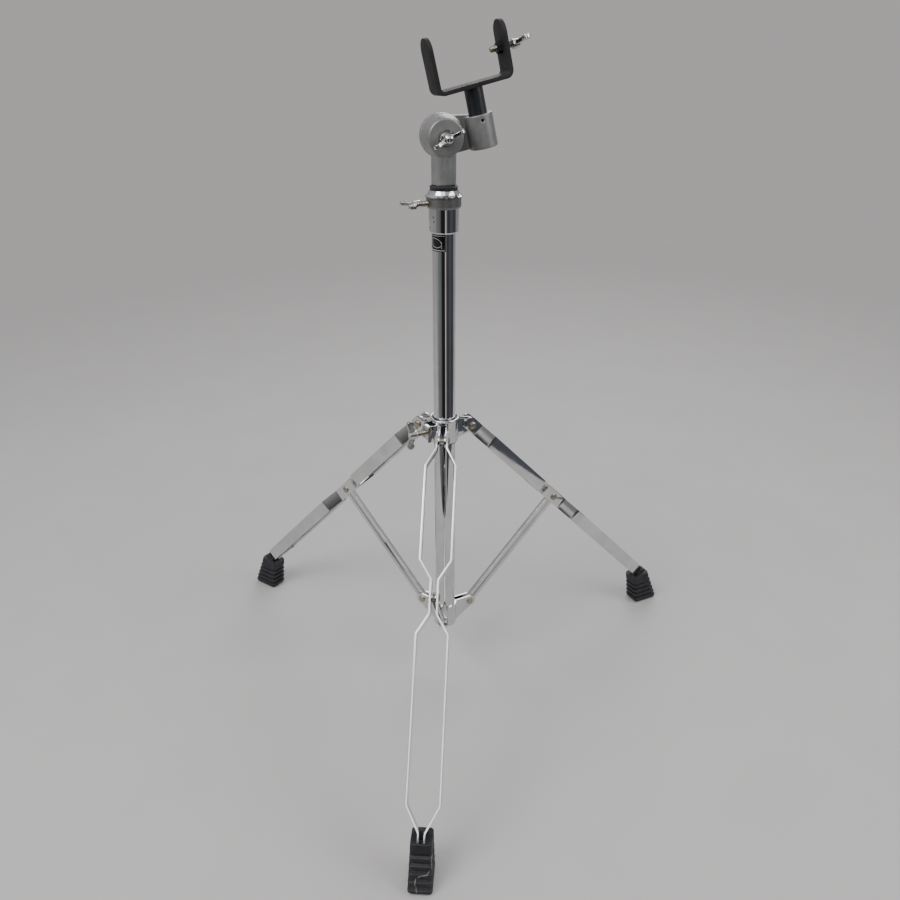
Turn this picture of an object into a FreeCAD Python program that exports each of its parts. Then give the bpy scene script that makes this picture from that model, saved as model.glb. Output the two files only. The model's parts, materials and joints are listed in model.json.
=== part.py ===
import FreeCAD, Part
import math
import os

V = FreeCAD.Vector

# A folding tripod stand for a bongo or small conga.
# Millimetres, +Z up, standing on Z = 0. One leg points along -Y, the others to +X and -X behind it.
# The origin is the middle of the stand's footprint, so the tube's axis is a little behind it.

# ---- tripod linkage: each brace and the leg above its rivet are equally long ----
LEG_AZIMUTHS = {"front": 270.0, "right": 30.0, "left": 150.0}
RIVET_RADIUS = 34.0           # hub and collar rivets, from the tube's axis
LINK_LENGTH = 177.2           # rivet to rivet, on the brace and on the upper leg
LEG_LEAN = 43.74              # leg's angle from vertical
HUB_RIVET_Z = 90.0
COLLAR_RIVET_Z = HUB_RIVET_Z + 2 * LINK_LENGTH * math.cos(math.radians(LEG_LEAN))
PIN_RADIUS = 2.5              # all rivet shanks
PIN_CLEARANCE = 0.06          # running clearance round a hinge rivet
OPEN_PIVOT_CLEARANCE = 0.35   # round the collar rivets, where the linkage is opened
SIDE_GAP = 0.3                # between faces that turn past each other

# ---- leg strips: half the spacing of the two strips, along the leg from the collar rivet ----
STRIP_THICKNESS = 2.0
STRIP_WIDTH = 16.0
STRIP_TOP = -12.0
STRIP_END = 432.0
EAR_HALF = 6.0                # beside the collar's ear
BOW_HALF = 17.0               # where the strips are bowed apart
MID_HALF = 4.0                # at the middle rivet, on the brace's end
FOOT_HALF = 3.2               # in the foot
BOWED_TO = 383.0              # where the lower bow ends
STRIP_BENDS = [
    (STRIP_TOP, EAR_HALF),
    (9.6, EAR_HALF),
    (30.0, BOW_HALF),
    (138.0, BOW_HALF),
    (159.0, MID_HALF),
    (195.4, MID_HALF),
    (216.4, BOW_HALF),
    (BOWED_TO, BOW_HALF),
    (408.0, FOOT_HALF),
    (STRIP_END, FOOT_HALF),
]
STRIP_BEND_RADIUS = 7.0
RIVET_HEAD_RADIUS = 4.4
RIVET_HEAD_HEIGHT = 1.7
FOOT_RIVET_AT = 418.5

# ---- brace: a channel, open underneath ----
BRACE_WIDTH = 5.4
BRACE_DEPTH = 12.0
BRACE_WALL = 1.2

# ---- rubber foot, in its leg's plane: distance from the tube's axis, and height ----
FOOT_OUTER = 347.5            # the base's outer end
FOOT_INNER = 311.0            # the inner wall, at the floor
FOOT_HALF_WIDTH = 12.7
FOOT_TOP_HALF_WIDTH = 10.8
FOOT_CORNER = 3.8
FOOT_BASE = 6.9               # the base's height, up to the first groove
FOOT_PEAK = (329.5, 50.5)     # top of the outer wall
FOOT_LIP = (303.8, 44.5)      # top of the inner wall
FOOT_SOLE = [(0.0, 3.0), (1.0, 1.2), (3.0, 0.0)]   # the rounded lower edge: height, inset
FOOT_GROOVE_PITCH = 7.6
FOOT_GROOVE_HEIGHT = 4.4
FOOT_GROOVE_SLOPE = 0.9
FOOT_GROOVES = [              # each groove's depth, lowest first: inner face and sides, then outside
    (3.3, 3.2),
    (3.3, 3.2),
    (3.3, 3.2),
    (2.8, 2.4),
    (0.0, 2.0),
]
FOOT_POCKET = [               # the strips' outer corners are trimmed to this line, inside the outer wall
    (327.9, 50.5),
    (328.6, 44.0),
    (342.0, 5.5),
]
SPACER_RADIUS = 4.2
FOOT_POCKET_GAP = 0.1
FOOT_FLARE_AT = 411.0         # the pocket widens towards its mouth from here, along the leg

# ---- the tube's place: the three feet's footprint is centred on the origin ----
BACK_REACH = ((FOOT_OUTER - FOOT_CORNER) * math.sin(math.radians(30))
              + (FOOT_HALF_WIDTH - FOOT_CORNER) * math.cos(math.radians(30)) + FOOT_CORNER)
TUBE_Y = (FOOT_OUTER - BACK_REACH) / 2

# ---- base tube and its top ----
TUBE_RADIUS = 12.7
TUBE_BORE = 11.5
TUBE_BOTTOM = 67.0
TUBE_TOP = 586.0
SLEEVE_RADIUS = 15.8
SLEEVE_BOTTOM = 574.0
SLEEVE_TOP = 599.0
RING_RADIUS = 18.3
RING_FLANGE_RADIUS = 19.7
RING_FOOT_RADIUS = 17.2
RING_TOP = 610.6
DOME_TOP = 616.9
BUSH_RADIUS = 14.5
BUSH_LIP_RADIUS = 14.75
BUSH_TOP = 621.9
BUSH_BODY_RADIUS = 14.7
LABEL_BOTTOM = 555.5
LABEL_FROM = 155.0            # azimuths that the label wraps between
LABEL_TO = 283.0
LABEL_THICKNESS = 0.25
DIMPLES = [(231.0, 591.0), (234.0, 586.3), (209.0, 580.0)]   # azimuth and height of each
DIMPLE_RADIUS = 0.9
DIMPLE_DEPTH = 0.7
SEAT = 0.02                   # between pieces of one assembly that touch
HEIGHT_SCREW_AZIMUTH = 207.0
HEIGHT_SCREW_Z = 604.0

# ---- collar ----
COLLAR_BORE = 14.5
COLLAR_RADIUS = 16.2
COLLAR_RIM_RADIUS = 17.4
COLLAR_TOP = COLLAR_RIVET_Z + 15.0
COLLAR_BOTTOM = COLLAR_RIVET_Z - 13.0
LINER_BORE = 13.0             # slides on the tube, with open-pivot clearance
EAR_OUTER = EAR_HALF - STRIP_THICKNESS / 2 - SIDE_GAP
EAR_SHEET = 2.0
EAR_NOSE = 7.5                # radius of the ear round its rivet
COLLAR_SCREW_AZIMUTH = 210.0
CHEEK_HEIGHT = 20.0           # the cheeks on each side of the clamp nut
CHEEK_GAP = 0.05
CLAMP_NUT_HEIGHT = 17.0
CLAMP_NUT_ROUND = 1.2
LUG_INNER = 19.4
LUG_OUTER = 25.0
LUG_HALF_WIDTH = 6.5
PAD_INNER = 14.9
PAD_THICKNESS = 2.6
PAD_WIDTH = 11.0
PAD_HEIGHT = 15.0

# ---- lower hub ----
HUB_BOTTOM = 67.5
HUB_TOP = 97.5
HUB_SHEET = 1.6
HUB_GAP_HALF = BRACE_WIDTH / 2 + SIDE_GAP
HUB_NOSE = 8.0

# ---- sliding height tube ----
MAST_RADIUS = 9.525
MAST_BORE = 8.3
MAST_BOTTOM = 140.0
MAST_FIT = 0.06
GUIDE_RADIUS = 11.2
GUIDE_HEIGHT = 18.0

# ---- tilter ----
PIVOT_Z = 668.0
TILT_AZIMUTH = 287.0          # the tilt bolt points this way, towards its wing nut
DRUM_RADIUS = 22.0
DRUM_FACE_RADIUS = 17.2
FRONT_FACE = 13.0             # front face, in front of the tube's axis
PARTING = 10.0                # parting plane, behind the tube's axis
REAR_FACE = 32.5
NECK_RADIUS = 12.85
NECK_BOTTOM = BUSH_TOP + SIDE_GAP
RATCHET_OUTER = 17.5
RATCHET_INNER = 8.0
RATCHET_DEPTH = 3.0
RATCHET_TEETH = 24
TILT_BOLT_RADIUS = 4.0
HEAD_LEAN = 12.9              # the head leans this far to the left at rest
SOCKET_OFFSET = 41.5
SOCKET_RADIUS = 14.35
SOCKET_TOP = 11.0
SOCKET_LENGTH = 32.8
SOCKET_FLOOR = 4.0
ARM_FRONT = 13.4              # the arm clears the neck behind it
ARM_BACK = 29.0
GRUB_DROP = 5.5
GRUB_RADIUS = 1.6
SPRING_WASHER_HEIGHT = 1.8
WASHER_THICKNESS = 1.6
WASHER_START = FRONT_FACE + SPRING_WASHER_HEIGHT + 0.05
NUT_START = WASHER_START + WASHER_THICKNESS + 0.05
TILT_NUT_TURN = 62.0
TILT_BOLT_END = NUT_START + 12.8
TILT_BOLT_HEAD = 5.5

# ---- bracket ----
BRACKET_YAW = 7.0
POST_RADIUS = 9.5
POST_FIT = 0.06
BAR_BOTTOM = 36.5             # above the pivot, along the post
BRACKET_WIDTH = 82.0
BRACKET_HEIGHT = 53.7
BRACKET_STRIP = 25.0
BRACKET_SHEET = 4.0
BRACKET_BEND = 5.5
BRACKET_BOLT_HEIGHT = 28.3    # above the underside of the bar
BRACKET_BOLT_TIP = 25.0
BRACKET_BOLT_HUB = 49.0
BRACKET_BOLT_TURN = 75.0

# ---- wing screws ----
SCREW_RADIUS = 3.0
SCREW_FIT = 0.06
WING_THICKNESS = 3.6
WING_TIP_RADIUS = 4.2


def polygon_prism(points, depth):
    """A prism on an outline in the XY plane, from Z = 0 to depth."""
    corners = [V(x, y, 0) for x, y in points]
    wire = Part.makePolygon(corners + corners[:1])
    return Part.Face(wire).extrude(V(0, 0, depth))


def side_prism(points, half_width):
    """A prism on an outline in the XZ plane, centred on Y = 0."""
    prism = polygon_prism(points, 2 * half_width)
    prism.rotate(V(0, 0, 0), V(1, 0, 0), 90)
    prism.translate(V(0, half_width, 0))
    return prism


def ring(outer, inner, bottom, top):
    """A plain ring round the Z axis."""
    height = top - bottom
    body = Part.makeCylinder(outer, height, V(0, 0, bottom))
    return body.cut(Part.makeCylinder(inner, height + 2, V(0, 0, bottom - 1)))


def revolved(profile):
    """A solid of revolution about Z, from (radius, height) points."""
    corners = [V(r, 0, z) for r, z in profile]
    face = Part.Face(Part.makePolygon(corners + corners[:1]))
    return face.revolve(V(0, 0, 0), V(0, 0, 1), 360)


def cylinder_along(radius, start, end):
    """A cylinder between two points."""
    return Part.makeCylinder(radius, (end - start).Length, start, end - start)


def pin_across(radius, x, z, half_length):
    """A cylinder along Y, centred on Y = 0."""
    return cylinder_along(radius, V(x, -half_length, z), V(x, half_length, z))


def united(shapes):
    """All the shapes as one clean solid."""
    return shapes[0].multiFuse(shapes[1:]).removeSplitter()


def at_azimuth(shape, azimuth):
    """Turn a shape drawn along +X to an azimuth, and move it to the tube's axis."""
    placed = shape.copy()
    placed.rotate(V(0, 0, 0), V(0, 0, 1), azimuth)
    placed.translate(V(0, TUBE_Y, 0))
    return placed


def export(node, shape):
    """Write one sub-part."""
    if not shape.isValid():
        raise ValueError(node + " is not a valid shape")
    shape.exportStep("parts/" + node + ".step")


def rounded_bar(x_start, x_end, half_depth, half_width):
    """A flat bar along X with both ends rounded in the XZ plane."""
    length = x_end - x_start - 2 * half_depth
    bar = Part.makeBox(length, 2 * half_width, 2 * half_depth,
                       V(x_start + half_depth, -half_width, -half_depth))
    ends = [pin_across(half_depth, x, 0, half_width) for x in (x_start + half_depth, x_end - half_depth)]
    return united([bar] + ends)


def offset_side(points, bend_radius, offset):
    """The edges of a bent path's outline, offset to its left."""
    edges = []
    last = None
    for before, corner, after in zip(points, points[1:], points[2:]):
        into = (corner - before).normalize()
        out = (after - corner).normalize()
        turn = math.atan2(into.x * out.y - into.y * out.x, into.dot(out))
        reach = bend_radius * math.tan(abs(turn) / 2)
        bend_side = math.copysign(1, turn)
        left_in = V(-into.y, into.x, 0)
        left_out = V(-out.y, out.x, 0)
        centre = corner - into * reach + left_in * (bend_radius * bend_side)
        arc_start = corner - into * reach + left_in * offset
        arc_end = corner + out * reach + left_out * offset
        arc_middle = centre + (corner - centre).normalize() * (bend_radius - offset * bend_side)
        if last is None:
            last = before + left_in * offset
        edges.append(Part.LineSegment(last, arc_start).toShape())
        edges.append(Part.Arc(arc_start, arc_middle, arc_end).toShape())
        last = arc_end
    final = (points[-1] - points[-2]).normalize()
    end = points[-1] + V(-final.y, final.x, 0) * offset
    edges.append(Part.LineSegment(last, end).toShape())
    return edges


def bent_strip(outline, bend_radius, thickness, width):
    """A flat strip bent along an open path in the XY plane, centred on Z = 0."""
    points = [V(x, y, 0) for x, y in outline]
    left = offset_side(points, bend_radius, thickness / 2)
    right = offset_side(points, bend_radius, -thickness / 2)
    caps = [
        Part.LineSegment(left[0].Vertexes[0].Point, right[0].Vertexes[0].Point).toShape(),
        Part.LineSegment(left[-1].Vertexes[-1].Point, right[-1].Vertexes[-1].Point).toShape(),
    ]
    wire = Part.Wire(Part.__sortEdges__(left + right + caps))
    strip = Part.Face(wire).extrude(V(0, 0, width))
    strip.translate(V(0, 0, -width / 2))
    return strip


# ---- legs ----

def along_leg(shape):
    """Place a shape drawn along +X from the collar rivet onto the leaning leg."""
    placed = shape.copy()
    placed.rotate(V(0, 0, 0), V(0, 1, 0), 90 - LEG_LEAN)
    placed.translate(V(RIVET_RADIUS, 0, COLLAR_RIVET_Z))
    return placed


def leg_strip(side):
    """One of a leg's two strips: bowed sideways, with rivet holes and rounded ends."""
    strip = bent_strip([(s, side * gap) for s, gap in STRIP_BENDS],
                       STRIP_BEND_RADIUS, STRIP_THICKNESS, STRIP_WIDTH)
    strip = strip.common(rounded_bar(STRIP_TOP, STRIP_END, STRIP_WIDTH / 2, 2 * BOW_HALF))
    holes = [
        pin_across(PIN_RADIUS + OPEN_PIVOT_CLEARANCE, 0, 0, BOW_HALF),
        pin_across(PIN_RADIUS, LINK_LENGTH, 0, BOW_HALF),
        pin_across(PIN_RADIUS, FOOT_RIVET_AT, 0, BOW_HALF),
    ]
    return trimmed(along_leg(strip.cut(Part.makeCompound(holes))), FOOT_POCKET_GAP)


def rivet(at_x, at_z, grip_half, head_gap):
    """A rivet across the leg's plane, with a domed head on each side."""
    inner = grip_half + head_gap
    shank = pin_across(PIN_RADIUS, at_x, at_z, inner + RIVET_HEAD_HEIGHT / 2)
    profile = [
        (0, 0), (RIVET_HEAD_RADIUS, 0), (RIVET_HEAD_RADIUS, RIVET_HEAD_HEIGHT * 0.3),
        (RIVET_HEAD_RADIUS * 0.72, RIVET_HEAD_HEIGHT * 0.76), (0, RIVET_HEAD_HEIGHT),
    ]
    solids = [shank]
    for turn in (-90, 90):
        head = revolved(profile)
        head.rotate(V(0, 0, 0), V(1, 0, 0), turn)
        head.translate(V(at_x, inner * math.copysign(1, -turn), at_z))
        solids.append(head)
    return united(solids)


def brace():
    """A channel from the hub rivet to the leg's middle rivet, its web on top."""
    nose = BRACE_DEPTH / 2
    bar = rounded_bar(-nose, LINK_LENGTH + nose, nose, BRACE_WIDTH / 2)
    inside = Part.makeBox(LINK_LENGTH + 4 * nose, BRACE_WIDTH - 2 * BRACE_WALL, BRACE_DEPTH,
                          V(-2 * nose, -BRACE_WIDTH / 2 + BRACE_WALL, -nose - BRACE_WALL))
    holes = [pin_across(PIN_RADIUS + PIN_CLEARANCE, x, 0, BRACE_WIDTH) for x in (0, LINK_LENGTH)]
    channel = bar.cut(Part.makeCompound([inside] + holes))
    channel.rotate(V(0, 0, 0), V(0, 1, 0), LEG_LEAN - 90)
    channel.translate(V(RIVET_RADIUS, 0, HUB_RIVET_Z))
    return channel


def foot_section(z, inset, outer_inset):
    """The foot's outline at one height, drawn in by an inset at its sides and by another outside."""
    inner = FOOT_INNER + (FOOT_LIP[0] - FOOT_INNER) * z / FOOT_LIP[1] + inset
    climb = max(0.0, z - FOOT_BASE) / (FOOT_PEAK[1] - FOOT_BASE)
    outer = FOOT_OUTER + (FOOT_PEAK[0] - FOOT_OUTER) * climb - outer_inset
    half_width = FOOT_HALF_WIDTH + (FOOT_TOP_HALF_WIDTH - FOOT_HALF_WIDTH) * z / FOOT_PEAK[1] - inset
    return rounded_section(inner, outer, half_width, FOOT_CORNER - inset / 2, z)


def rounded_section(x_from, x_to, half_width, corner, z):
    """A rounded rectangle at height z, as a wire."""
    centres = [
        (x_to - corner, half_width - corner, 0),
        (x_from + corner, half_width - corner, 90),
        (x_from + corner, corner - half_width, 180),
        (x_to - corner, corner - half_width, 270),
    ]
    arcs = []
    for x, y, start in centres:
        points = []
        for step in (0, 45, 90):
            angle = math.radians(start + step)
            points.append(V(x + corner * math.cos(angle), y + corner * math.sin(angle), z))
        arcs.append(Part.Arc(*points).toShape())
    edges = []
    for arc, following in zip(arcs, arcs[1:] + arcs[:1]):
        edges.append(arc)
        edges.append(Part.LineSegment(arc.Vertexes[-1].Point, following.Vertexes[0].Point).toShape())
    return Part.Wire(edges)


def foot():
    """A rubber foot: ribbed above its base, with a slanting mouth that the leg's strips enter."""
    levels = [(z, inset, inset) for z, inset in FOOT_SOLE]
    for index, (inset, outer_inset) in enumerate(FOOT_GROOVES):
        start = FOOT_BASE + index * FOOT_GROOVE_PITCH
        end = start + FOOT_GROOVE_HEIGHT
        levels += [(start, 0, 0), (start + FOOT_GROOVE_SLOPE, inset, outer_inset),
                   (end - FOOT_GROOVE_SLOPE, inset, outer_inset), (end, 0, 0)]
    levels.append((FOOT_PEAK[1] + 1.0, 0, 0))
    blocks = []
    for lower, upper in zip(levels, levels[1:]):
        blocks.append(Part.makeLoft([foot_section(*lower), foot_section(*upper)], True, True))
    rise = (FOOT_PEAK[1] - FOOT_LIP[1]) / (FOOT_PEAK[0] - FOOT_LIP[0])
    near = FOOT_LIP[0] - 5
    far = FOOT_OUTER + 5
    under_mouth = side_prism([
        (near, -1), (far, -1), (far, FOOT_PEAK[1]), FOOT_PEAK, (near, FOOT_LIP[1] - 5 * rise),
    ], FOOT_HALF_WIDTH)
    body = united(blocks).common(under_mouth)
    return body.cut(trimmed(along_leg(foot_pocket()), 0))


def foot_pocket():
    """The slot that both strips fill, flared at its mouth where they spread apart."""
    width = FOOT_HALF + STRIP_THICKNESS / 2 + FOOT_POCKET_GAP
    wide = BOW_HALF + STRIP_THICKNESS / 2 + FOOT_POCKET_GAP
    flare = polygon_prism([
        (STRIP_END, -width), (STRIP_END, width), (FOOT_FLARE_AT, width),
        (BOWED_TO, wide), (BOWED_TO, -wide), (FOOT_FLARE_AT, -width),
    ], STRIP_WIDTH)
    flare.translate(V(0, 0, -STRIP_WIDTH / 2))
    return flare.common(rounded_bar(STRIP_TOP, STRIP_END, STRIP_WIDTH / 2, wide))


def trimmed(shape, gap):
    """A shape placed on the leg, cut back to the pocket's outer line and a gap."""
    line = [(x - gap, z) for x, z in FOOT_POCKET]
    corner = FOOT_OUTER + 5
    beyond = side_prism(line + [(corner, line[-1][1]), (corner, line[0][1])], 2 * BOW_HALF)
    return shape.cut(beyond)


# ---- collar ----

def ear_plate(nose_radius, nose_x, nose_z, root_x, root_bottom, root_top, thickness):
    """A pressed ear in the XZ plane from a ring's wall out to a rounded nose round its rivet."""
    web = side_prism([(root_x, root_bottom), (nose_x, nose_z - nose_radius),
                      (nose_x, nose_z + nose_radius), (root_x, root_top)], thickness / 2)
    return united([web, pin_across(nose_radius, nose_x, nose_z, thickness / 2)])


def leg_collar():
    """The pressed collar: a rimmed ring, three pairs of ears and a cheeked window for its clamp nut."""
    wall = ring(COLLAR_RADIUS, COLLAR_BORE, COLLAR_BOTTOM, COLLAR_TOP)
    rim_thickness = COLLAR_RIM_RADIUS - COLLAR_BORE
    rim = Part.makeTorus(COLLAR_RIM_RADIUS - rim_thickness / 2, rim_thickness / 2, V(0, 0, COLLAR_TOP))
    solids = [wall, rim]
    for azimuth in LEG_AZIMUTHS.values():
        for side in (1, -1):
            ear = ear_plate(EAR_NOSE, RIVET_RADIUS, COLLAR_RIVET_Z, COLLAR_BORE,
                            COLLAR_BOTTOM, COLLAR_TOP - rim_thickness, EAR_SHEET)
            ear.translate(V(0, side * (EAR_OUTER - EAR_SHEET / 2), 0))
            ear.rotate(V(0, 0, 0), V(0, 0, 1), azimuth)
            solids.append(ear)
    for side in (1, -1):
        cheek = Part.makeBox(LUG_OUTER - COLLAR_BORE, EAR_SHEET, CHEEK_HEIGHT,
                             V(COLLAR_BORE, -EAR_SHEET / 2, COLLAR_RIVET_Z - CHEEK_HEIGHT / 2))
        cheek.translate(V(0, side * (LUG_HALF_WIDTH + CHEEK_GAP + EAR_SHEET / 2), 0))
        cheek.rotate(V(0, 0, 0), V(0, 0, 1), COLLAR_SCREW_AZIMUTH)
        solids.append(cheek)
    collar = united(solids)
    window_half = LUG_HALF_WIDTH + CHEEK_GAP
    window = Part.makeBox(LUG_OUTER, 2 * window_half, CHEEK_HEIGHT,
                          V(0, -window_half, COLLAR_RIVET_Z - CHEEK_HEIGHT / 2))
    window.rotate(V(0, 0, 0), V(0, 0, 1), COLLAR_SCREW_AZIMUTH)
    bore = Part.makeCylinder(COLLAR_BORE, 60, V(0, 0, COLLAR_BOTTOM - 5))
    cuts = [window, bore]
    for azimuth in LEG_AZIMUTHS.values():
        hole = pin_across(PIN_RADIUS, RIVET_RADIUS, COLLAR_RIVET_Z, EAR_HALF)
        hole.rotate(V(0, 0, 0), V(0, 0, 1), azimuth)
        cuts.append(hole)
    return at_azimuth(collar.cut(Part.makeCompound(cuts)), 0)


def collar_liner():
    """The nylon liner inside the collar, showing as a lip at both ends."""
    liner = ring(COLLAR_BORE - SEAT, LINER_BORE, COLLAR_BOTTOM - 2.0, COLLAR_TOP + 0.4)
    return at_azimuth(liner, 0)


def collar_clamp_nut():
    """The square nut held between the collar's cheeks."""
    nut = Part.makeBox(LUG_OUTER - LUG_INNER, 2 * LUG_HALF_WIDTH, CLAMP_NUT_HEIGHT,
                       V(LUG_INNER, -LUG_HALF_WIDTH, -CLAMP_NUT_HEIGHT / 2))
    nut = nut.makeFillet(CLAMP_NUT_ROUND, nut.Edges)
    hole = cylinder_along(SCREW_RADIUS + SCREW_FIT, V(LUG_INNER - 1, 0, 0), V(LUG_OUTER + 1, 0, 0))
    nut = nut.cut(hole)
    nut.translate(V(0, 0, COLLAR_RIVET_Z))
    return at_azimuth(nut, COLLAR_SCREW_AZIMUTH)


# ---- screws with wings ----

def wing_head(hub_start, hub_length, span, flare, hub_radius):
    """A wing screw's head round the X axis: a tapered hub and two wings along +Z and -Z."""
    hub = Part.makeCone(hub_radius, hub_radius * 0.8, hub_length, V(hub_start, 0, 0), V(1, 0, 0))
    tip_x = hub_start + hub_length / 2 + flare
    tip_z = span / 2 - WING_TIP_RADIUS
    wing = side_prism([
        (hub_start + 0.6, 0), (tip_x - WING_TIP_RADIUS * 0.35, tip_z + WING_TIP_RADIUS * 0.22),
        (tip_x + WING_TIP_RADIUS * 0.2, tip_z),
        (tip_x + WING_TIP_RADIUS * 0.9, tip_z - WING_TIP_RADIUS * 0.3),
        (hub_start + hub_length - 0.6, 0),
    ], WING_THICKNESS / 2)
    tip = pin_across(WING_TIP_RADIUS, tip_x, tip_z, WING_THICKNESS / 2)
    pair = united([wing, tip])
    other = pair.mirror(V(0, 0, 0), V(0, 0, 1))
    return united([hub, pair, other])


def wing_screw(tip_x, hub_start, hub_length, span, flare, hub_radius):
    """A wing screw along +X: a threaded shank from its tip to its winged head."""
    shank = cylinder_along(SCREW_RADIUS, V(tip_x, 0, 0), V(hub_start + hub_length / 2, 0, 0))
    return united([shank, wing_head(hub_start, hub_length, span, flare, hub_radius)])


def collar_wing_bolt():
    """The collar's wing bolt, its wings upright."""
    bolt = wing_screw(17.6, 36.0, 9.0, 36.0, 3.0, 5.0)
    bolt.translate(V(0, 0, COLLAR_RIVET_Z))
    return at_azimuth(bolt, COLLAR_SCREW_AZIMUTH)


def collar_pad():
    """The pad that the collar's wing bolt presses on the liner."""
    pad = Part.makeBox(PAD_THICKNESS, PAD_WIDTH, PAD_HEIGHT,
                       V(PAD_INNER, -PAD_WIDTH / 2, COLLAR_RIVET_Z - PAD_HEIGHT / 2))
    pad = pad.cut(Part.makeCylinder(PAD_INNER, 2 * PAD_HEIGHT, V(0, 0, COLLAR_RIVET_Z - PAD_HEIGHT)))
    return at_azimuth(pad, COLLAR_SCREW_AZIMUTH)


# ---- lower hub ----

def hub_shell(azimuth):
    """One of three pressed shells round the tube, from the leg at this azimuth to the next one."""
    wall = ring(TUBE_RADIUS + HUB_SHEET, TUBE_RADIUS + SEAT, HUB_BOTTOM, HUB_TOP)
    apex = HUB_GAP_HALF / math.sin(math.radians(60))
    far = 60.0
    wedge = polygon_prism([
        (apex * math.cos(math.radians(60)), apex * math.sin(math.radians(60))),
        (far, HUB_GAP_HALF),
        (far, far * math.tan(math.radians(60))),
        (far * math.cos(math.radians(120)) + HUB_GAP_HALF * math.sin(math.radians(120)),
         far * math.sin(math.radians(120)) - HUB_GAP_HALF * math.cos(math.radians(120))),
    ], 60)
    wedge.translate(V(0, 0, HUB_BOTTOM - 10))
    flanges = []
    for turn, side in ((0, 1), (120, -1)):
        flange = ear_plate(HUB_NOSE, RIVET_RADIUS, HUB_RIVET_Z, TUBE_RADIUS + HUB_SHEET / 2,
                           HUB_BOTTOM, HUB_TOP, HUB_SHEET)
        flange = flange.cut(pin_across(PIN_RADIUS, RIVET_RADIUS, HUB_RIVET_Z, HUB_NOSE))
        flange.translate(V(0, side * (HUB_GAP_HALF + HUB_SHEET / 2), 0))
        flange.rotate(V(0, 0, 0), V(0, 0, 1), turn)
        flanges.append(flange)
    shell = united([wall.common(wedge)] + flanges)
    return at_azimuth(shell.cut(Part.makeCylinder(TUBE_RADIUS + SEAT, 60, V(0, 0, HUB_BOTTOM - 10))), azimuth)


# ---- base tube and its top ----

def tube_sleeve():
    """The sleeve round the tube's top, with three punched dimples."""
    sleeve = revolved([
        (TUBE_RADIUS + SEAT, SLEEVE_BOTTOM), (SLEEVE_RADIUS - 0.8, SLEEVE_BOTTOM),
        (SLEEVE_RADIUS, SLEEVE_BOTTOM + 1.4), (SLEEVE_RADIUS, SLEEVE_TOP),
        (BUSH_BODY_RADIUS + SEAT, SLEEVE_TOP), (BUSH_BODY_RADIUS + SEAT, TUBE_TOP + 0.2),
        (TUBE_RADIUS + SEAT, TUBE_TOP + 0.2),
    ])
    for azimuth, z in DIMPLES:
        angle = math.radians(azimuth)
        outward = V(math.cos(angle), math.sin(angle), 0)
        floor = outward * (SLEEVE_RADIUS - DIMPLE_DEPTH) + V(0, 0, z)
        sleeve = sleeve.cut(cylinder_along(DIMPLE_RADIUS, floor, floor + outward * 3))
    return at_azimuth(sleeve, 0)


def height_bush():
    """The nylon bush: its body sits in the sleeve and ring, and its collar shows above the dome."""
    bush = revolved([
        (MAST_RADIUS + MAST_FIT, TUBE_TOP + 0.3), (BUSH_BODY_RADIUS, TUBE_TOP + 0.3),
        (BUSH_BODY_RADIUS, RING_TOP), (BUSH_RADIUS - 0.6, RING_TOP + 1),
        (BUSH_RADIUS - 0.6, DOME_TOP + 0.05), (BUSH_RADIUS, DOME_TOP + 0.05),
        (BUSH_RADIUS, BUSH_TOP - 2.6), (BUSH_LIP_RADIUS, BUSH_TOP - 1.9), (BUSH_LIP_RADIUS, BUSH_TOP - 1.5),
        (NECK_RADIUS + 0.3, BUSH_TOP), (MAST_RADIUS + MAST_FIT, BUSH_TOP),
    ])
    return at_azimuth(bush, 0)


def height_clamp_ring():
    """The clamp ring: a band, a flange above it and a domed top, with a screw hole on one side."""
    bore = BUSH_BODY_RADIUS + SEAT
    body = revolved([
        (bore, SLEEVE_TOP + 0.05), (RING_FOOT_RADIUS, SLEEVE_TOP + 0.05), (RING_RADIUS, SLEEVE_TOP + 2.0),
        (RING_RADIUS, RING_TOP - 0.8), (RING_FLANGE_RADIUS, RING_TOP - 0.3),
        (RING_FLANGE_RADIUS, RING_TOP + 0.6), (RING_FLANGE_RADIUS - 1.2, RING_TOP + 1.4),
        (17.0, RING_TOP + 2.8), (15.8, RING_TOP + 5.0),
        (15.0, DOME_TOP), (BUSH_RADIUS - 0.55, DOME_TOP), (BUSH_RADIUS - 0.55, RING_TOP + 1.02),
        (bore, RING_TOP + SEAT),
    ])
    hole = cylinder_along(SCREW_RADIUS + SCREW_FIT, V(13, 0, HEIGHT_SCREW_Z), V(24, 0, HEIGHT_SCREW_Z))
    hole.rotate(V(0, 0, 0), V(0, 0, 1), HEIGHT_SCREW_AZIMUTH)
    return at_azimuth(body.cut(hole), 0)


def height_wing_screw():
    """The height clamp's wing screw, its wings level."""
    screw = wing_screw(16.4, 26.5, 8.0, 34.0, 9.0, 4.2)
    screw.rotate(V(0, 0, 0), V(1, 0, 0), 90)
    screw.translate(V(0, 0, HEIGHT_SCREW_Z))
    return at_azimuth(screw, HEIGHT_SCREW_AZIMUTH)


def height_pad():
    """The brass slug that the height screw presses on the bush."""
    slug = cylinder_along(SCREW_RADIUS - 0.15, V(14.9, 0, HEIGHT_SCREW_Z), V(16.3, 0, HEIGHT_SCREW_Z))
    return at_azimuth(slug, HEIGHT_SCREW_AZIMUTH)


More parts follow.
